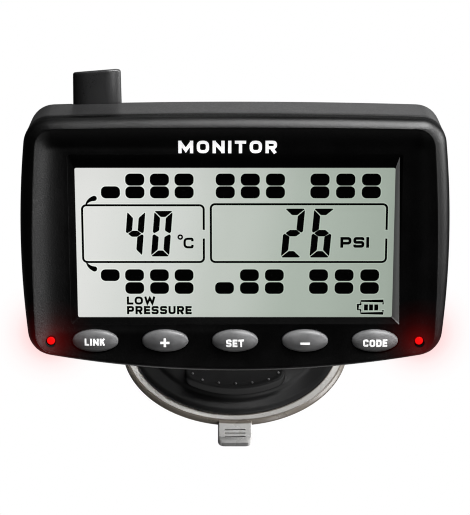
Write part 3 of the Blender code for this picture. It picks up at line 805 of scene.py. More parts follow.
EDGE = ((6.0, 0.5), (5.96, 0.25), (5.84, 0.08), (5.6, 0.0), (4.6, 0.0), (3.6, 0.0))  # depth, inset
DISH_STEPS = (0.012, 0.04, 0.08, 0.13, 0.19, 0.26, 0.34, 0.44, 0.55, 0.66, 0.77, 0.88, 0.96, 0.99)
case_front, rim_front, window_front = at(CASE, 0), at(RIM_IN, 0), at(WINDOW, 0)
rings = [at(CASE, y, inset) for y, inset in EDGE]
rings += [rim_ring(k) for k in range(15)]
rings += [between(case_front, rim_front, share, y) for share, y in ((0.985, 0.01), (0.997, 0.05))]
rings += [between(rim_front, window_front, share, dish(share)) for share in DISH_STEPS]
rings += [at(WINDOW, DISH_DEPTH), at(WINDOW, 2.44, 0.1), at(WINDOW, BACK_OF_DISH, 0.2)]
# the slopes down to the opening, then back round the inside
slope_top, slope_foot = at(WINDOW, 0, 0.2), at(OPENING, 0)
for share in (0.33, 0.66, 0.96):
    y = BACK_OF_DISH + (4.2 - BACK_OF_DISH) * share
    rings.append(between(slope_top, slope_foot, share, y))
rings += [at(OPENING, 4.22), at(OPENING, 4.7), at(SEAT, 4.7), at(CASE, 4.5, 3.0)]
rings += [at(CASE, 9.0, 3.0), at(CASE, 9.0, 2.0), at(CASE, 6.0, 2.0)]
front = raw("front_casing", [loft(rings, True)], FACE)

hole_width, hole_height = KEY_HALF_WIDTH + KEY_GAP, KEY_HALF_HEIGHT + KEY_GAP
holes = [loft([key_oval(x, y, hole_width, hole_height) for y in (-3, 7)]) for x in KEY_X.values()]
holes += [turned([(1.38, -3), (1.38, 7)], 1, 40, (sign * LAMP_X, LAMP_Z)) for _, sign in SIDES]
cut(front, *holes)
dress(front, CASE_BLACK, "monitor", ["front_housing"], edge=0.14)

# ================================================================ rear casing
AERIAL_X, AERIAL_Y = -38.1, 22.7
POSTS = [(sign * 50.3, z) for sign in (-1, 1) for z in (23.5, -20.0)]
REAR_WALL = (  # depth, inset, from the inside of the shell round its lip and back along the wall
    (22.8, 4.7), (20.4, 1.7), (6.7, 1.7), (6.7, 0.6), (6.74, 0.3), (6.9, 0.14), (7.3, 0.1),
    (10, 0.1), (14, 0.1), (18, 0.1), (20.6, 0.1),
)
rings = [at(CASE, y, inset) for y, inset in REAR_WALL]
for k in range(1, 11):
    turn = math.radians(9 * k)
    rings.append(at(CASE, 20.8 + 4.2 * math.sin(turn), 0.1 + 3.9 * (1 - math.cos(turn))))
rings += [at(CASE, 25.0, 4.5), at(CASE, 25.0, 5.6)]
rear = raw("rear_casing", [loft(rings)], FACE)

# rail block with a T-shaped slot for the dock plate
rail = fillet([(-17.6, 24.2), (17.6, 24.2), (17.6, 29.2), (-17.6, 29.2)], [0, 0, 0.9, 0.9])
tee = [
    (-15.5, 25.4), (15.5, 25.4), (15.5, 27.3), (13.3, 27.3),
    (13.3, 31), (-13.3, 31), (-13.3, 27.3), (-15.5, 27.3),
]
join(rear, prism(rail, 2, -14, 16))
cut(rear, prism(tee, 2, -16, 14.2))

# stepped screw holes, a round hole in the right-hand wall and five slots in the back
cuts = [turned([(1.45, 17), (1.45, 19.5), (2.7, 19.5), (2.7, 28)], 1, 36, post) for post in POSTS]
cuts.append(turned([(3.0, 52), (3.0, 62)], 0, 40, (18.2, 0)))
for z in (-16.8, -14.4, -12, -9.6, -7.2):
    cuts.append(prism(rounded_rect(25, 35, z - 0.6, z + 0.6, 0.59, 5), 1, 20, 28))
cut(rear, *cuts)

# notch in the top for the aerial
left, right, near = AERIAL_X - 7.05, AERIAL_X + 7.05, AERIAL_Y - 2.62
notch = fillet([(left, near), (right, near), (right, 28), (left, 28)], [2.2, 2.2, 0, 0], 6)
cut(rear, prism(notch, 2, 28.5, 40))
dress(rear, CASE_REAR, "monitor", ["rear_housing"], edge=0.18)

# ================================================================ case screws
# pan heads with a cross recess
SCREW = [  # radius, depth
    (1.1, 7.2), (1.1, 19.8), (2.25, 19.8), (2.3, 20.3), (2.2, 20.75),
    (1.8, 21.15), (1.2, 21.4), (0.5, 21.5),
]
for i, (x, z) in enumerate(POSTS, 1):
    screw = raw(f"case_screw_visual_{i}", [turned(SCREW, 1, 36, (x, z))], FACE)
    for half_x, half_z in ((1.3, 0.3), (0.3, 1.3)):
        cut(screw, box(x - half_x, x + half_x, 20.5, 23, z - half_z, z + half_z))
    dress(screw, STEEL, "monitor", [f"case_screw_{i}"], edge=0.05)

# ================================================================ aerial
TOP_FALL = 0.2  # how much the top drops per millimetre toward the back


def stub(half_x, half_y, left_z, right_z, radius, fall=0.0):
    """A cross-section of the aerial, its two ends at their own heights."""
    ring = []
    flat_end = half_x - radius
    reach = radius * 1.9
    for x, y in rounded_rect(-half_x, half_x, -half_y, half_y, radius, 9):
        if abs(x) >= flat_end - 1e-6:  # the ends are drawn out into half ellipses
            share = (abs(x) - flat_end) / radius
            x = math.copysign(half_x - reach + reach * share, x)
        across = (x + half_x) / (2 * half_x)
        y *= 1 - 0.2 * (x / half_x) ** 2  # the broad faces are slightly crowned
        z = left_z + (right_z - left_z) * across - fall * (y + half_y)
        ring.append((AERIAL_X + x, AERIAL_Y + y, z))
    return ring


rings = [
    stub(6.75, 2.3, 28.9, 28.9, 2.2),
    stub(6.75, 2.3, 30.5, 30.5, 2.2),
    stub(6.73, 2.29, 33.0, 33.0, 2.2),
    stub(6.61, 2.26, 41.4, 42.25, 2.2, TOP_FALL),
]
for k in range(1, 8):
    turn = math.radians(90 * k / 7)
    inset, rise = 0.55 * (1 - math.cos(turn)), 0.55 * math.sin(turn)
    radius = 2.2 - 0.4 * k / 7
    rings.append(stub(6.6 - inset, 2.25 - inset, 41.65 + rise, 42.5 + rise, radius, TOP_FALL))
rings.append(stub(5.3, 1.2, 42.2, 43.05, 1.1, TOP_FALL))
aerial = raw("aerial_cover", [loft(rings)], FACE)
join(aerial, box(AERIAL_X - 7.7, AERIAL_X + 7.7, 17.8, 21.4, 28.9, 30.1))
cut(aerial, box(AERIAL_X - 4.9, AERIAL_X + 4.9, AERIAL_Y - 1.4, AERIAL_Y + 1.4, 28, 39.4))
dress(aerial, AERIAL_BLACK, "monitor", ["antenna_cover"])


# ================================================================ lettering
def stroke(points, thick, closed=False):
    """A mitred line of even thickness. Long runs are split, to follow a curved surface."""
    corners = [Vector(point) for point in points]
    if closed and (corners[0] - corners[-1]).length < 1e-6:
        corners.pop()
    fine = []
    count = len(corners)
    for i in range(count if closed else count - 1):
        here, there = corners[i], corners[(i + 1) % count]
        pieces = max(1, math.ceil((there - here).length / 0.5))
        fine += [here.lerp(there, k / pieces) for k in range(pieces)]
    if not closed:
        fine.append(corners[-1])
    left, right = [], []
    count = len(fine)
    for i, point in enumerate(fine):
        before = fine[i - 1] if (i or closed) else None
        after = fine[(i + 1) % count] if (i < count - 1 or closed) else None
        came = ((point - before) if before is not None else (after - point)).normalized()
        goes = (after - point).normalized() if after is not None else came
        normal = Vector((-came.y, came.x))
        mitre = normal + Vector((-goes.y, goes.x))
        mitre = mitre.normalized() if mitre.length > 1e-4 else normal
        reach = thick / 2 / max(0.42, mitre.dot(normal))
        left.append(tuple(point + mitre * reach))
        right.append(tuple(point - mitre * reach))
    faces = []
    for i in range(count if closed else count - 1):
        j = (i + 1) % count
        faces.append((i, j, count + j, count + i))
    return left + right, faces


# width of a capital against the plain ones; an I is one stroke wide
LETTER_WIDTH = {
    "I": 0.0, "M": 1.3, "W": 1.45, "N": 1.05, "O": 1.08, "E": 0.88, "L": 0.84, "T": 0.98,
}


def letter(char, w, h, thick):
    """Centre lines of a capital in a box w by h, as (points, corner radii, closed)."""
    half = thick / 2
    L, R, B, T = half, w - half, half, h - half
    mid_x, mid_z = w / 2, h / 2
    big = min(0.42 * (R - L), 0.3 * h)
    small = min(0.42 * (R - L), 0.2 * h)
    full = min(0.5 * (R - L), 0.5 * (T - B))

    def line(*points):
        return points, 0, False

    def bowl(z):
        """The post's foot, up and round the bowl, and back to the post at height z."""
        return [(L, 0), (L, T), (R, T), (R, z), (L, z)], [0, 0, small, small, 0], False

    ess = [(R, h * 0.7), (R, T), (L, T), (L, mid_z), (R, mid_z), (R, B), (L, B), (L, h * 0.3)]
    cee = [(R, h * 0.66), (R, T), (L, T), (L, B), (R, B), (R, h * 0.34)]
    posts = [line((L, 0), (L, h)), line((R, 0), (R, h))]
    return {
        "C": [(cee, [0] + [full * 0.9] * 4 + [0], False)],
        "D": [([(L, B), (L, T), (R, T), (R, B)], [0, 0, big, big], True)],
        "E": [line((w, T), (L, T), (L, B), (w, B)), line((L, mid_z), (w - 0.3 * half, mid_z))],
        "I": [line((mid_x, 0), (mid_x, h))],
        "K": [
            posts[0],
            line((R, h), (L + 0.2 * half, h * 0.42)),
            line((mid_x * 0.92, h * 0.62), (R, 0)),
        ],
        "L": [line((L, h), (L, B), (w, B))],
        "M": [*posts, line((L, h - half), (mid_x, h * 0.24), (R, h - half))],
        "N": [*posts, line((L, h - half), (R, half))],
        "O": [([(L, B), (L, T), (R, T), (R, B)], [full * 0.98] * 4, True)],
        "P": [bowl(h * 0.42)],
        "R": [bowl(h * 0.44), line((mid_x, h * 0.44), (R, 0))],
        "S": [(ess, [0] + [small] * 6 + [0], False)],
        "T": [line((0, T), (w, T)), line((mid_x, T), (mid_x, 0))],
        "U": [([(L, h), (L, B), (R, B), (R, h)], [0, big, big, 0], False)],
        "W": [line((L, h), (w * 0.28, half), (mid_x, h * 0.8), (w * 0.72, half), (R, h))],
    }[char]


def words(text, x0, x1, z0, z1, thick, gap, extra=0.0):
    """Strokes of lettering that fill a rectangle. extra widens every stroke on all sides."""
    units = sum(LETTER_WIDTH.get(char, 1.0) for char in text)
    fixed = gap * (len(text) - 1) + thick * text.count("I")
    unit = (x1 - x0 - fixed) / units
    strokes = []
    x = x0
    for char in text:
        width = thick if char == "I" else unit * LETTER_WIDTH.get(char, 1.0)
        for control, radii, closed in letter(char, width, z1 - z0, thick):
            path = fillet(control, radii, 6, closed)
            if extra and not closed:
                for end, inner in ((0, 1), (-1, -2)):
                    away = (Vector(path[end]) - Vector(path[inner])).normalized()
                    ends = tuple(Vector(path[end]) + away * extra)
                    if end == 0:
                        first = ends
                path = [first] + path[1:-1] + [ends]
            path = [(x + px, z0 + pz) for px, pz in path]
            strokes.append(stroke(path, thick + 2 * extra, closed))
        x += width + gap
    return strokes


def plate(points, faces, depth, proud, sunk):
    """A thin plate over the surface depth(x, z): proud of it in front and sunk behind it."""
    count = len(points)
    verts = [(x, depth(x, z) - proud, z) for x, z in points]
    verts += [(x, depth(x, z) + sunk, z) for x, z in points]
    sheets = [tuple(face) for face in faces]
    sheets += [tuple(reversed([i + count for i in face])) for face in faces]
    edges = dict.fromkeys(edge for face in faces for edge in zip(face, face[1:] + face[:1]))
    for a, b in edges:
        if (b, a) not in edges:
            sheets.append((b, a, a + count, b + count))
    return verts, sheets


def printed(name, shapes, depth, proud, sunk, shader, body):
    """Flat-shaded plates, one per (points, faces)."""
    obj = raw(name, [plate(*shape, depth, proud, sunk) for shape in shapes], FACE)
    dress(obj, shader, body, sharp=30)
    obj.data.shade_flat()


def plus_sign(x, z, width, thick):
    w, t = width / 2, thick / 2
    points = [
        (-t, w), (-t, t), (-w, t), (-w, -t), (-t, -t), (-t, -w),
        (t, -w), (t, -t), (w, -t), (w, t), (t, t), (t, w),
    ]
    faces = [(0, 1, 10, 11), (1, 2, 3, 4), (1, 4, 7, 10), (4, 5, 6, 7), (10, 7, 8, 9)]
    return [(x + dx, z + dz) for dx, dz in points], faces


# ================================================================ keys
LEGENDS = {
    "link": words("LINK", -41.42, -35.78, -30.12, -28.11, thick=0.5, gap=0.3),
    "plus": [plus_sign(-19.33, -29.3, width=2.55, thick=0.66)],
    "set": words("SET", -2.46, 2.43, -30.55, -28.37, thick=0.5, gap=0.3),
    "minus": [stroke([(18.02, -29.52), (20.65, -29.52)], thick=0.62)],
    "code": words("CODE", 35.3, 41.95, -30.5, -28.37, thick=0.5, gap=0.3),
}
KEY_EDGE_DEPTH = 1.72


def key_depth(x, z, centre):
    """Depth of a key's domed top."""
    share = math.hypot((x - centre) / KEY_HALF_WIDTH, (z - KEY_Z) / KEY_HALF_HEIGHT)
    share = min(max(share, 0.0), 1.0)
    return KEY_EDGE_DEPTH - 1.52 * (1 - share**2.4) ** 0.62


KEY_BODY = (  # half width, half height, depth: side, flange and stem
    (KEY_HALF_WIDTH, KEY_HALF_HEIGHT, 2.2), (KEY_HALF_WIDTH, KEY_HALF_HEIGHT, 4.9),
    (KEY_HALF_WIDTH + 0.7, KEY_HALF_HEIGHT + 0.06, 4.9),
    (KEY_HALF_WIDTH + 0.7, KEY_HALF_HEIGHT + 0.06, 5.9),
    (1.6, 1.6, 5.9), (1.6, 1.6, 9.1),
)
for name, centre in KEY_X.items():
    rings = []
    for k in range(1, 15):
        size = math.sin(math.radians(90 * k / 14))
        oval = key_oval(centre, 0, KEY_HALF_WIDTH * size, KEY_HALF_HEIGHT * size)
        rings.append([
            (x, key_depth(x, z, centre) if k < 14 else KEY_EDGE_DEPTH, z) for x, _, z in oval
        ])
    rings += [key_oval(centre, y, half_x, half_z) for half_x, half_z, y in KEY_BODY]
    key = raw(f"key_{name}_cap", [loft(rings)], FACE)
    dress(key, KEY_PAINT, f"key_{name}", [f"button_{name}"], sharp=40)
    printed(
        f"key_{name}_legend", LEGENDS[name], lambda x, z: key_depth(x, z, centre),
        0.035, 0.15, INK, f"key_{name}",
    )

# ================================================================ lamps
LAMP_R = 1.12
lamp_profile = []
for degrees in (6, 18, 30, 42, 54, 66, 78, 90):
    turn = math.radians(degrees)
    lamp_profile.append((LAMP_R * math.sin(turn), 1.1 - 0.3 * math.cos(turn)))
lamp_profile += [(LAMP_R, 5.0), (1.35, 5.0), (1.35, 13.4)]
for side, sign in SIDES:
    lamp = raw(f"lamp_{side}", [turned(lamp_profile, 1, 36, (sign * LAMP_X, LAMP_Z))], FACE)
    dress(lamp, LAMP_RED, "monitor", [f"led_{side}"])


# ================================================================ word above the screen
def face_depth(x, z):
    return dish((RIM_TOP - RIM_TOP_BOW * x * x - z) / (RIM_TOP - WINDOW_TOP))


title = words("MONITOR", -15.2, 11.25, 23.95, 27.5, thick=0.86, gap=0.95)
printed("title_print", title, face_depth, 0.03, 0.1, INK, "monitor")

# ================================================================ screen segments
ON_GLASS = 6.35  # depth of the glass
FRINGE_WIDTH = 0.24
dark_marks = []
pale_marks = []  # the same marks a little larger, for the fringe behind them


def add_mark(points, faces, wide_points, wide_faces):
    dark_marks.append((points, faces))
    pale_marks.append((wide_points, wide_faces))


def grow(points, by):
    """A convex polygon with each side moved out."""
    pairs = list(zip(points, points[1:] + points[:1]))
    sign = 1 if sum(a[0] * b[1] - b[0] * a[1] for a, b in pairs) > 0 else -1
    grown = []
    for i, (point, following) in enumerate(pairs):
        point = Vector(point)
        came = (point - Vector(points[i - 1])).normalized()
        goes = (Vector(following) - point).normalized()
        normal = Vector((came.y, -came.x)) * sign
        mitre = (normal + Vector((goes.y, -goes.x)) * sign).normalized()
        grown.append(tuple(point + mitre * (by / max(0.5, mitre.dot(normal)))))
    return grown


def add_convex(points):
    face = [tuple(range(len(points)))]
    add_mark(points, face, grow(points, FRINGE_WIDTH), face)


def add_path(points, width, end_width=None):
    """A line along points, of even width or changing to end_width."""
    last = len(points) - 1

    def sides(extra):
        left, right = [], []
        for i, point in enumerate(points):
            before, after = Vector(points[max(i - 1, 0)]), Vector(points[min(i + 1, last)])
            along = (after - before).normalized()
            half = (width + ((end_width or width) - width) * i / last) / 2 + extra
            if 0 < i < last:
                half /= max(along.dot((Vector(point) - before).normalized()), 0.6)
            middle = Vector(point)
            if extra and i in (0, last):
                middle = middle + along * (extra if i else -extra)
            reach = Vector((-along.y, along.x)) * half
            left.append(tuple(middle + reach))
            right.append(tuple(middle - reach))
        return left + right

    faces = [(i, i + 1, last + i + 2, last + i + 1) for i in range(last)]
    add_mark(sides(0), faces, sides(FRINGE_WIDTH * 0.8), faces)


# rows of rounded bars above and below the digits
BAR_HALF_WIDTH, BAR_HALF_HEIGHT, BAR_RADIUS = 2.6, 1.7, 1.35
HIGH_BARS = (-27.25, -20.55, -13.85, -2.65, 4.15, 11.0, 23.1, 30.1, 37.1)
LOW_LEFT_BARS = (-27.7, -20.85, -14.05)
LOW_RIGHT_BARS = (3.98, 10.85, 23.05, 30.1, 37.15)
BAR_ROWS = (  # z, x of each bar
    (15.58, HIGH_BARS),
    (12.0, (-33.9, *HIGH_BARS)),
    (-11.65, (-34.4, *LOW_LEFT_BARS, *LOW_RIGHT_BARS)),
    (-15.38, (*LOW_LEFT_BARS, -2.9, *LOW_RIGHT_BARS)),
)
for z, row in BAR_ROWS:
    for x in row:
        add_convex(rounded_rect(
            x - BAR_HALF_WIDTH, x + BAR_HALF_WIDTH, z - BAR_HALF_HEIGHT, z + BAR_HALF_HEIGHT,
            BAR_RADIUS,
        ))

DIGIT_SLANT = math.tan(math.radians(4.8))
LIT_SEGMENTS = {"4": "fgbc", "0": "abcdef", "2": "abged", "6": "afgedc"}


def add_digit(digit, x0, z0, w, h, t):
    """A seven-segment digit w by h with segments t thick, slanted to the right."""
    mid = h / 2
    inner = t * 0.5 + 0.85
    top = [
        (0.42, h), (w - 0.42, h), (w - 0.12, h - 0.16),
        (w - t - 0.12, h - t), (t + 0.12, h - t), (0.12, h - 0.16),
    ]
    left = [
        (0.0, mid + 0.5), (0.0, h - 0.75), (0.12, h - 0.42),
        (t, h - t - 0.28), (t, mid + t / 2 + 0.05), (0.42, mid + 0.12),
    ]
    middle = [
        (0.62, mid), (inner, mid + t / 2), (w - t * 0.5 - 0.85, mid + t / 2),
        (w - 0.62, mid), (w - t * 0.5 - 0.85, mid - t / 2), (inner, mid - t / 2),
    ]

    def flip_x(points):
        return [(w - x, z) for x, z in points]

    def flip_z(points):
        return [(x, h - z) for x, z in points]

    segments = {
        "a": top, "b": flip_x(left), "c": flip_x(flip_z(left)), "d": flip_z(top),
        "e": flip_z(left), "f": left, "g": middle,
    }
    for segment in LIT_SEGMENTS[digit]:
        points = fillet(segments[segment], 0.3)
        add_convex([(x0 + x + z * DIGIT_SLANT, z0 + z) for x, z in points])


add_digit("4", -30.5, -6.25, 4.95, 13.0, 1.72)
add_digit("0", -23.1, -6.25, 5.0, 13.0, 1.72)
add_digit("2", 12.6, -6.55, 5.4, 13.95, 1.85)
add_digit("6", 20.45, -6.55, 5.4, 13.95, 1.85)

# a rounded frame round each pair of digits, open in the middle of its right side
for x0, x1, z0, z1 in ((-41.75, -8.55, -7.85, 8.35), (-6.6, 41.5, -7.85, 8.65)):
    add_path([(x1, 1.35)] + rounded_rect(x0, x1, z0, z1, 1.15) + [(x1, -1.1)], width=0.6)

# a curved teardrop at each left corner of the left frame
for start, corner, end in (
    ((-40.7, 8.45), (-40.1, 9.9), (-38.4, 10.3)),
    ((-40.85, -7.95), (-40.3, -9.4), (-38.7, -9.85)),
):
    path = bend(Vector(start), Vector(corner), Vector(end), 10)
    add_path(path, width=0.3, end_width=1.5)
    add_convex(disc(*path[-1], 0.75, 20))

SCREEN_WORDS = (  # text, x0, x1, z0, z1, stroke thickness, gap
    ("PSI", 28.9, 36.8, -3.75, -0.68, 0.8, 0.5),
    ("C", -14.15, -11.35, -3.95, -0.85, 0.66, 0.3),
    ("LOW", -29.95, -22.0, -20.2, -17.85, 0.62, 0.32),
    ("PRESSURE", -29.95, -12.0, -23.0, -20.62, 0.62, 0.36),
)
for row in SCREEN_WORDS:
    for thin, wide in zip(words(*row), words(*row, extra=0.17)):
        add_mark(*thin, *wide)
degree = stroke(disc(-15.0, -0.7, 0.55, 24), 0.46, True)
add_mark(*degree, *degree)

# battery mark: two halves of the body, the cap at its left and three cells
add_path([(41.0, -20.15), (41.0, -19.15), (34.85, -19.15), (34.85, -20.2)], width=0.52)
add_path([(41.0, -21.8), (41.0, -22.75), (34.85, -22.75), (34.85, -21.7)], width=0.5)
add_path([(34.95, -20.2), (34.05, -20.2), (34.05, -21.7), (34.95, -21.7)], width=0.46)
for x in (35.75, 37.15, 38.6):
    add_convex([(x, -21.9), (x + 1.1, -21.9), (x + 1.1, -20.15), (x, -20.15)])

for name, marks, proud, shader in (
    ("lcd_segments", dark_marks, 0.06, SEGMENT),
    ("lcd_fringes", pale_marks, 0.03, FRINGE),
):
    printed(name, marks, lambda x, z: ON_GLASS, proud, 0.0, shader, "monitor")

# ================================================================ dock plate
dock_shape = fillet(
    [
        (-15.2, 25.65), (15.2, 25.65), (15.2, 27.05), (13.0, 27.05),
        (13.0, 29.35), (-13.0, 29.35), (-13.0, 27.05), (-15.2, 27.05),
    ],
    [0.3, 0.3, 0.3, 0, 0.6, 0.6, 0, 0.3],
    3,
)
dock = raw("dock_plate_visual", [prism(dock_shape, 2, -13.9, 13.9)], FACE)
cut(dock, turned([(5.0, 24.5), (5.0, 27.3), (2.75, 27.3), (2.75, 31)], 1, 48))
dress(dock, MOUNT_BLACK, "dock", ["dock_plate"], edge=0.2)

# ================================================================ ball stud
BALL_R = 7.5
NECK_R = 3.0
stud_profile = fillet(
    [
        (1.45, -11.8), (1.45, -17.2), (2.5, -17.2), (2.5, -14.8), (7.0, -14.8), (7.0, -13.0),
        (4.0, -12.4), (NECK_R, -11.2), (NECK_R, -math.sqrt(BALL_R**2 - NECK_R**2)),
    ],
    [0, 0, 0.1, 0.1, 0.5, 0.5, 0.8, 0.6, 0.5],
    closed=False,
)
start = math.asin(NECK_R / BALL_R)
for i in range(1, 24):
    turn = start + (math.pi - start) * i / 24
    stud_profile.append((BALL_R * math.sin(turn), -BALL_R * math.cos(turn)))
stud = raw("ball_stud_visual", [turned(stud_profile, 1, 56)], BALL)
dress(stud, MOUNT_BLACK, "stud", ["ball_stud"])

# ================================================================ collar
COLLAR_R = 12.6
COLLAR_SEGMENTS = 144
collar = fillet(
    [
        (10.75, 2.0), (10.75, -4.3), (6.7, -4.6), (7.9, -7.0),
        (11.4, -7.0), (COLLAR_R, -6.0), (COLLAR_R, 2.0),
    ],
    [0.2, 0.3, 0.3, 0.4, 0.6, 0.6, 0.4],
)


def ribbed(radius, y):
    """The collar's outside has 24 grip ribs between its two plain bands."""
    loop = []
    for i in range(COLLAR_SEGMENTS):
        turn = 2 * math.pi * i / COLLAR_SEGMENTS
        grip = 0.0
        if radius > 12.0 and -5.2 < y < 1.3:
            grip = 0.42 * (0.5 - 0.5 * math.cos(24 * turn)) ** 0.7
        loop.append(((radius - grip) * math.cos(turn), y, (radius - grip) * math.sin(turn)))
    return loop


collar_profile = []
for here, there in zip(collar, collar[1:] + collar[:1]):
    collar_profile.append(here)
    if here[0] > 12.3 and there[0] > 12.3 and abs(here[1] - there[1]) > 3:
        # extra stations along the outside, to hold the ribs
        collar_profile += [(COLLAR_R, y) for y in (-5.25, -5.15, -4.2, -2.0, 0.0, 1.2, 1.35)]
collar_nut = raw("collar_visual", [loft([ribbed(*row) for row in collar_profile], True)], BALL)
dress(collar_nut, KNOB_BLACK, "collar", ["collar_nut"])

# ================================================================ arm
ball_mm = ball_centre / MM
SOCKET_R = 9.3


def arm_local(point):
    return tuple(c - origin for c, origin in zip(point, PIVOT))


def turned_in_ball(profile, seg):
    """A profile turned about the ball's depth axis, in the arm's own frame."""
    loops = []
    for radius, y in profile:
        ring = [Vector((x, y, z)) for x, z in disc(0, 0, radius, seg)]
        loops.append([arm_local(ball_mm + LEAN @ point) for point in ring])
    return loft(loops)


ARM_PATH = [  # y, z, half width, half thickness
    (15.0, 15.6, 4.9, 4.6), (16.6, 22, 4.7, 4.4), (18.4, 30, 4.4, 4.3),
    (18.6, 38, 4.4, 4.4), (16.6, 44.5, 4.8, 4.8), (12.6, 49.6, 5.6, 5.4),
]
bar_path = curve_through(ARM_PATH, 5)
bar = []
for i, (y, z, half_x, half_side) in enumerate(bar_path):
    before, after = bar_path[max(i - 1, 0)], bar_path[min(i + 1, len(bar_path) - 1)]
    along = Vector((0, after[0] - before[0], after[1] - before[1])).normalized()
    side = Vector((0, along.z, -along.y))
    section = rounded_rect(-half_x, half_x, -half_side, half_side, 2.0)
    bar.append([arm_local((x, y + side.y * out, z + side.z * out)) for x, out in section])

socket = [(10.4, -3.6)]
socket += curve_through([(10.4, 3.0), (10.0, 6.2), (8.2, 9.2), (5.0, 11.2), (1.5, 12.0)], 4)
barrel = fillet([(1.0, -5.1), (4.9, -5.1), (4.9, 5.1), (1.0, 5.1)], [0, 0.5, 0.5, 0], closed=False)
cavity = [(SOCKET_R, -6.0), (SOCKET_R, 0.0)]
for degrees in range(8, 88, 8):
    turn = math.radians(degrees)
    cavity.append((SOCKET_R * math.cos(turn), SOCKET_R * math.sin(turn)))

arm = raw("arm_visual", [turned_in_ball(socket, 64)], ARM)
join(arm, loft(bar))
join(arm, turned(barrel, 0, 48))
cut(arm, turned_in_ball(cavity, 56))
cut(arm, turned([(2.3, -8), (2.3, 8)], 0, 32))
dress(arm, MOUNT_BLACK, "arm", ["arm"], sharp=30, edge=0.35, segments=3)

# ================================================================ pivot bolt, nut and knob
bolt_profile = fillet(
    [(0.8, -12.6), (2.0, -12.6), (2.0, 14.6), (0.8, 14.6)], [0, 0.35, 0.35, 0], 3, closed=False
)
bolt = raw("pivot_bolt_visual", [turned(bolt_profile, 0, 32)], ARM)
dress(bolt, STEEL, "base", ["pivot_bolt"])

nut_profile = [(3.6, -12.2), (3.8, -11.9), (3.8, -9.4), (3.6, -9.1)]
nut = raw("pivot_nut_visual", [turned(nut_profile, 0, 6)], ARM)
cut(nut, turned([(2.3, -14), (2.3, -7)], 0, 36))
dress(nut, STEEL, "base", ["pivot_nut"], sharp=30, edge=0.12)


def knob_loop(x, radius, dip):
    """A circle with six lobes, dips deep between them."""
    loop = []
    for i in range(96):
        turn = 2 * math.pi * i / 96
        reach = radius - dip * (0.5 - 0.5 * math.cos(6 * turn)) ** 1.4
        loop.append((x, reach * math.cos(turn), reach * math.sin(turn)))
    return loop


KNOB = [  # x, radius, dip
    (9.2, 3.6, 0), (9.2, 4.0, 0), (9.35, 4.2, 0), (9.9, 4.4, 0.1), (10.1, 5.6, 0.5),
    (10.25, 6.7, 0.7), (10.6, 7.15, 0.85), (11.4, 7.3, 0.9), (13.5, 7.35, 0.9),
    (15.1, 7.3, 0.9), (15.8, 7.1, 0.9), (16.2, 6.6, 0.8), (16.4, 5.8, 0.5),
    (16.42, 4.4, 0.15), (16.35, 2.0, 0),
]
knob = raw("thumb_knob_visual", [loft([knob_loop(*row) for row in KNOB])], ARM)
cut(knob, turned([(2.35, 8), (2.35, 15.0)], 0, 36))
dress(knob, KNOB_BLACK, "knob", ["thumb_knob"], sharp=36)

# ================================================================ cap of the cup
CAP = [  # radius, z, corner radius
    (3.7, 6.6, 0), (10.4, 6.6, 0), (12.0, 5.0, 0), (23.6, 4.0, 0), (25.2, 2.5, 0),
    (29.2, 2.0, 0), (30.0, 1.65, 0), (31.8, 1.65, 0.15), (31.65, 2.25, 0.3),
    (30.7, 2.95, 0.5), (26.9, 3.5, 0.45), (26.2, 4.5, 0.55), (24.0, 5.0, 0.8),
    (18.0, 5.6, 1.0), (11.4, 6.3, 0.9), (9.6, 8.6, 0.6), (3.7, 8.6, 0.3),
]
cap_profile = fillet([row[:2] for row in CAP], [row[2] for row in CAP], 5)
cap = raw("cup_cap_visual", [turned(cap_profile, 2, 128, closed=True)], WORLD)


def ear(x0, x1):
    """A round-topped ear that holds the arm's pivot."""
    _, y, z = PIVOT
    points = [(y - 6.4, 5.2), (y + 6.0, 5.2)]
    for degrees in range(0, 181, 10):
        turn = math.radians(degrees)
        points.append((y + 4.9 * math.cos(turn), z + 4.9 * math.sin(turn)))
    return prism(points, 0, x0, x1)


join(cap, ear(-8.8, -5.4), ear(5.4, 8.8))
cut(cap, turned([(2.3, -12), (2.3, 12)], 0, 36, (PIVOT[1], PIVOT[2])))
dress(cap, BASE_BLACK, "base", ["cup_cap"], edge=0.16)

# ================================================================ locking lever
CAM_R = 4.5
LIFT_PER_DEG = 1.5 / 70.0
PADDLE_R, PADDLE_HALF, PADDLE_CORNER = 27.0, 15.0, 4.0
NECK = [  # y, z, corner radius, from the hub out to the paddle and back
    (-5.0, 17.2, 1.4), (-9.5, 14.2, 1.4), (-13.5, 10.2, 2.0), (-17.0, 8.9, 0),
    (-17.0, 6.5, 0), (-12.9, 7.0, 1.2), (-10.8, 9.3, 1.2), (-6.0, 9.5, 1.2),
]
hub = []
for degrees in range(0, 181, 6):
    radius = CAM_R - LIFT_PER_DEG * min(degrees, 80)
    turn = math.radians(-degrees)
    hub.append((-radius * math.sin(turn), -radius * math.cos(turn)))
hub += fillet([(y, z - PIN_Z) for y, z, _ in NECK], [row[2] for row in NECK])
lever = raw("lock_lever_visual", [prism(hub, 0, -7.0, 7.0)], LEVER)


def paddle(inset):
    """The paddle from above: a straight back edge and an arc of the cup's circle in front."""
    radius, half = PADDLE_R - inset, PADDLE_HALF - inset
    x = half - PADDLE_CORNER
    y = -math.sqrt((radius - PADDLE_CORNER) ** 2 - x**2)
    end = math.atan2(y, x)
    back = -12.6 - inset
    right = [(half - 0.9, back), (half - 0.25, back - 0.25), (half, back - 0.9)]
    for i in range(9):
        turn = end * i / 8
        right.append((x + PADDLE_CORNER * math.cos(turn), y + PADDLE_CORNER * math.sin(turn)))
    arc = []
    for i in range(1, 20):
        turn = end + (-math.pi - 2 * end) * i / 20
        arc.append((radius * math.cos(turn), radius * math.sin(turn)))
    return right + arc + [(-px, py) for px, py in reversed(right)]


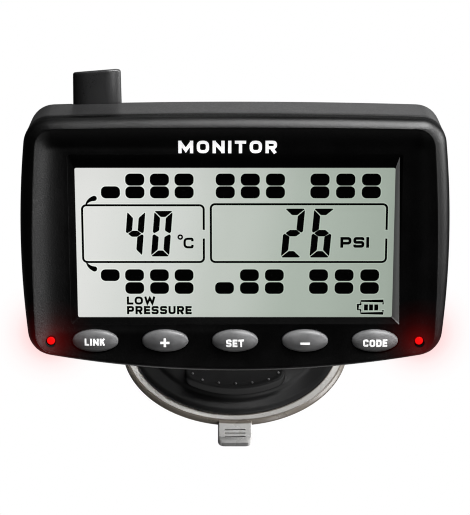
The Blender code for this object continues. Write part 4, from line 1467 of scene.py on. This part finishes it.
def paddle_z(y, low, high):
    """The paddle slopes: low at its front edge, high 16 mm behind it."""
    return low + (high - low) * (y + PADDLE_R) / 16.0 - PIN_Z


PADDLE = [  # inset, low z, high z
    (0.35, 5.0, 6.9), (0.1, 5.12, 7.02), (0.0, 5.4, 7.3), (0.0, 6.6, 8.5), (0.06, 7.0, 8.9),
    (0.25, 7.28, 9.18), (0.55, 7.42, 9.32), (0.95, 7.46, 9.36), (1.3, 7.36, 9.26), (2.2, 7.3, 9.22),
]
paddle_loops = []
for inset, low, high in PADDLE:
    paddle_loops.append([(x, y, paddle_z(y, low, high)) for x, y in paddle(inset)])
join(lever, loft(paddle_loops))
cut(lever, box(-3.4, 3.4, -4.6, 8, -8, 8))
cut(lever, turned([(1.4, -9), (1.4, 9)], 0, 32))
dress(lever, LEVER_BLACK, "lever", ["lock_lever"], edge=0.12)

PIPS = (  # x, y
    (-12.6, -21.0), (-9.7, -23.4), (-4.8, -24.5), (0.2, -24.75),
    (5.1, -24.4), (10.0, -23.2), (12.9, -20.7),
)
pips = []
for x, y in PIPS:
    foot, top = paddle_z(y, 7.2, 9.1), paddle_z(y, 7.5, 9.4)
    pip_profile = [(0.34, foot), (0.34, top + 0.02), (0.27, top + 0.16), (0.1, top + 0.22)]
    pips.append(turned(pip_profile, 2, 14, (x, y)))
pip = raw("lock_lever_pips", pips, LEVER)
# the pips wear the pale grey of a painted highlight
dress(pip, PIP_PAINTED_HIGHLIGHT, "lever")

# ================================================================ suction cup and pull tab
CUP = [  # radius, z, corner radius
    (34.7, 0.0, 0), (34.62, 0.4, 0.2), (34.0, 1.25, 0.35), (33.5, 1.42, 0.35),
    (32.2, 1.42, 0.3), (29.0, 1.4, 0), (20.0, 2.0, 0), (9.6, 3.0, 0.4), (9.2, 6.3, 0.3),
    (4.0, 6.3, 0.3), (4.0, 5.5, 0), (6.5, 5.5, 0), (6.5, 2.25, 0), (0.6, 2.25, 0),
]
cup_profile = fillet([row[:2] for row in CUP], [row[2] for row in CUP], 5, closed=False)
cup = raw("suction_cup_visual", [turned(cup_profile, 2, 128)], WORLD)

tab_shape = fillet(
    [(-5.0, -32.5), (-5.0, -43.45), (5.0, -43.45), (5.0, -32.5)], [0, 2.1, 2.1, 0], 8, closed=False
)
TAB = [  # inset, z, how far the front end is drawn back
    (0.15, 0.25, 0.0), (0.0, 0.4, 0.0), (0.0, 0.62, 0.0),
    (0.06, 0.8, 0.2), (0.16, 1.05, 0.75), (0.34, 1.2, 1.0),
]


def tab_ring(inset, z, draw):
    ring = []
    for x, y in tab_shape:
        moved = y + (inset if y < -40 else 0)
        ring.append((x * (1 - inset / 5.0), moved + (draw if y < -40.5 else 0.0), z))
    return ring


join(cup, loft([tab_ring(*row) for row in TAB]))
grooves = [rounded_rect(-3.1, 3.1, y - 0.22, y + 0.22, 0.2, 4) for y in (-37.45, -38.85, -40.25)]
cut(cup, *[prism(groove, 2, 0.85, 1.6) for groove in grooves])
dress(cup, VINYL, "base", ["suction_cup"], sharp=30, edge=0.05)

# ================================================================ the CAD pieces that stay
KEPT = (
    (LENS, ["display_lens"]),
    (SCREEN, ["lcd_panel"]),
    (WHITE, ["lcd_holder", "backlight_panel"]),
    (STRIP, ["zebra_strip_top", "zebra_strip_bottom"]),
    (BOARD, ["main_pcb"]),
    (CHIP, ["mcu_chip", "lcd_driver_chip", "buzzer", "charging_jack"]),
    (CHIP, [f"switch_plunger_{key}" for key in KEY_X]),
    (STEEL, ["rf_shield_can", "stud_screw", "cup_stud", "lever_pin"]),
    (STEEL, [f"switch_body_{key}" for key in KEY_X]),
    (FOAM, ["battery_pad"]),
    (FOIL, ["battery_pack"]),
    (BRASS, ["antenna_coil"]),
    (NYLON, ["ball_seat"]),
)
for shader, names in KEPT:
    for name in names:
        mesh = frame["nodes"][name].data
        mesh.materials.clear()
        mesh.materials.append(shader.owner)

# ================================================================ lights
LIGHTS = (  # name, place, target, width, height, watts
    ("key_near", (0.12, 0.035, 0.345), (0.02, -0.02, 0.08), 0.20, 0.20, 2.2),
    ("back_low", (0.05, 0.80, 0.10), (0, 0, 0.08), 0.30, 0.30, 0.32),
    ("back_right", (0.40, 0.70, 0.03), (0.03, 0, 0.08), 0.30, 0.30, 0.34),
    ("key_right", (0.262, -0.008, 0.346), (0.05, -0.02, 0.09), 0.12, 0.12, 0.38),
    ("fill_low", (0.0, -0.34, -0.36), (0, -0.02, 0.07), 0.35, 0.35, 0.34),
    ("lift", (0.0, 0.0, -0.42), (0, -0.05, 0.05), 0.35, 0.35, 0.20),
    ("side_right", (0.66, 0.02, 0.20), (0, -0.02, 0.06), 0.40, 0.40, 5.6),
    ("strip_right", (0.42, -0.58, 0.20), (0, -0.04, 0.07), 0.10, 0.40, 1.15),
)
for name, place, target, width, height, watts in LIGHTS:
    data = bpy.data.lights.new(name, "AREA")
    data.shape = "RECTANGLE"
    data.size = width
    data.size_y = height
    data.energy = watts
    light = bpy.data.objects.new(name, data)
    light.location = place
    aim = Vector(target) - Vector(place)
    light.rotation_euler = aim.to_track_quat("-Z", "Y").to_euler()
    bpy.context.scene.collection.objects.link(light)


# ================================================================ bloom round the lamps
def bloom(name, x, y, z, radius, levels, colour):
    """A soft disc parallel to the face, seen by the camera alone and only from the front.

    levels are (share of the radius, opacity).
    """
    shader = new_shader(name, blank=True)
    clear = shader.wire("BsdfTransparent", "BSDF")
    lit = shader.wire("Emission", "Emission", {"Color": colour})
    distance = shader.wire("VectorMath", "Value", {0: shader.place()}, operation="LENGTH")
    stops = [(share, (level,) * 3) for share, level in ((0.0, 0.0), *levels, (1.0, 0.0))]
    opacity = distance.remap(0.0, 1.0, 0.0, radius / 1000).ramp(stops)
    toward = (FACE.to_3x3() @ Vector((0, -1, 0))).normalized()
    inputs = {0: shader.wire("NewGeometry", "Incoming"), 1: toward}
    front_on = shader.wire("VectorMath", "Value", inputs, operation="DOT_PRODUCT")
    camera_only = shader.wire("LightPath", "Is Camera Ray")
    factor = opacity * camera_only * front_on.gate(0.80, 0.915)
    shader.node("OutputMaterial", {"Surface": shader.mix_shader(factor, clear, lit)})

    shell = (lift(disc(0, 0, radius, 48), 1, 0.0), [tuple(range(48))])
    obj = raw(name, [shell], FACE @ Matrix.Translation(Vector((x, y, z)) * MM))
    obj.data.materials.append(shader.owner)
    obj.parent = frame["bodies"]["monitor"]
    obj.matrix_parent_inverse = frame["bodies"]["monitor"].matrix_world.inverted()


FRONT_BLOOM = ((0.102, 0.0), (0.115, 0.07), (0.2, 0.056), (0.3, 0.038), (0.45, 0.017), (0.7, 0.004))
BACK_BLOOM = ((0.2, 0.4), (0.4, 0.24), (0.6, 0.10), (0.8, 0.03))
for side, sign in SIDES:
    bloom(f"glow_{side}", sign * LAMP_X, -0.6, LAMP_Z, 13.0, FRONT_BLOOM, (1.0, 0.02, 0.02))
    bloom(
        f"glow_{side}_back", sign * (LAMP_X + 1.5), 12.0, LAMP_Z - 1.5, 16.0, BACK_BLOOM,
        (1.0, 0.05, 0.05),
    )

# ================================================================ world
# White to the camera; in reflections a pale wall, low behind, that fades to a dark room in front.
world = Shader(bpy.data.worlds.new("studio"), blank=True)
inputs = {0: world.wire("TexCoord", "Generated"), 1: (0.0, 0.7536, -0.6574)}
wall = world.wire("VectorMath", "Value", inputs, operation="DOT_PRODUCT").gate(0.3, 1.0)
white = {"Color": (1, 1, 1)}
room = world.wire("Background", "Background", {**white, "Strength": wall.fade(0.010, 0.11)})
seen = world.wire("Background", "Background", {**white, "Strength": 1.0})
camera_ray = world.wire("LightPath", "Is Camera Ray")
world.node("OutputWorld", {"Surface": world.mix_shader(camera_ray, room, seen)})
bpy.context.scene.world = world.owner

# ================================================================ camera and render
camera_data = bpy.data.cameras.new("camera")
camera_data.sensor_width = 36.0
camera_data.lens = 137.00971
camera_data.clip_start = 0.01
camera_data.clip_end = 50
camera = bpy.data.objects.new("camera", camera_data)
camera.location = (0.0, -0.43825, 0.41795)
camera.rotation_euler = (math.radians(90 - 41.1), 0, 0)  # looks 41.1 degrees down
scene = bpy.context.scene
scene.collection.objects.link(camera)
scene.camera = camera
scene.view_settings.view_transform = "Standard"
scene.view_settings.look = "None"
scene.cycles.use_denoising = True
scene.cycles.filter_width = 1.1
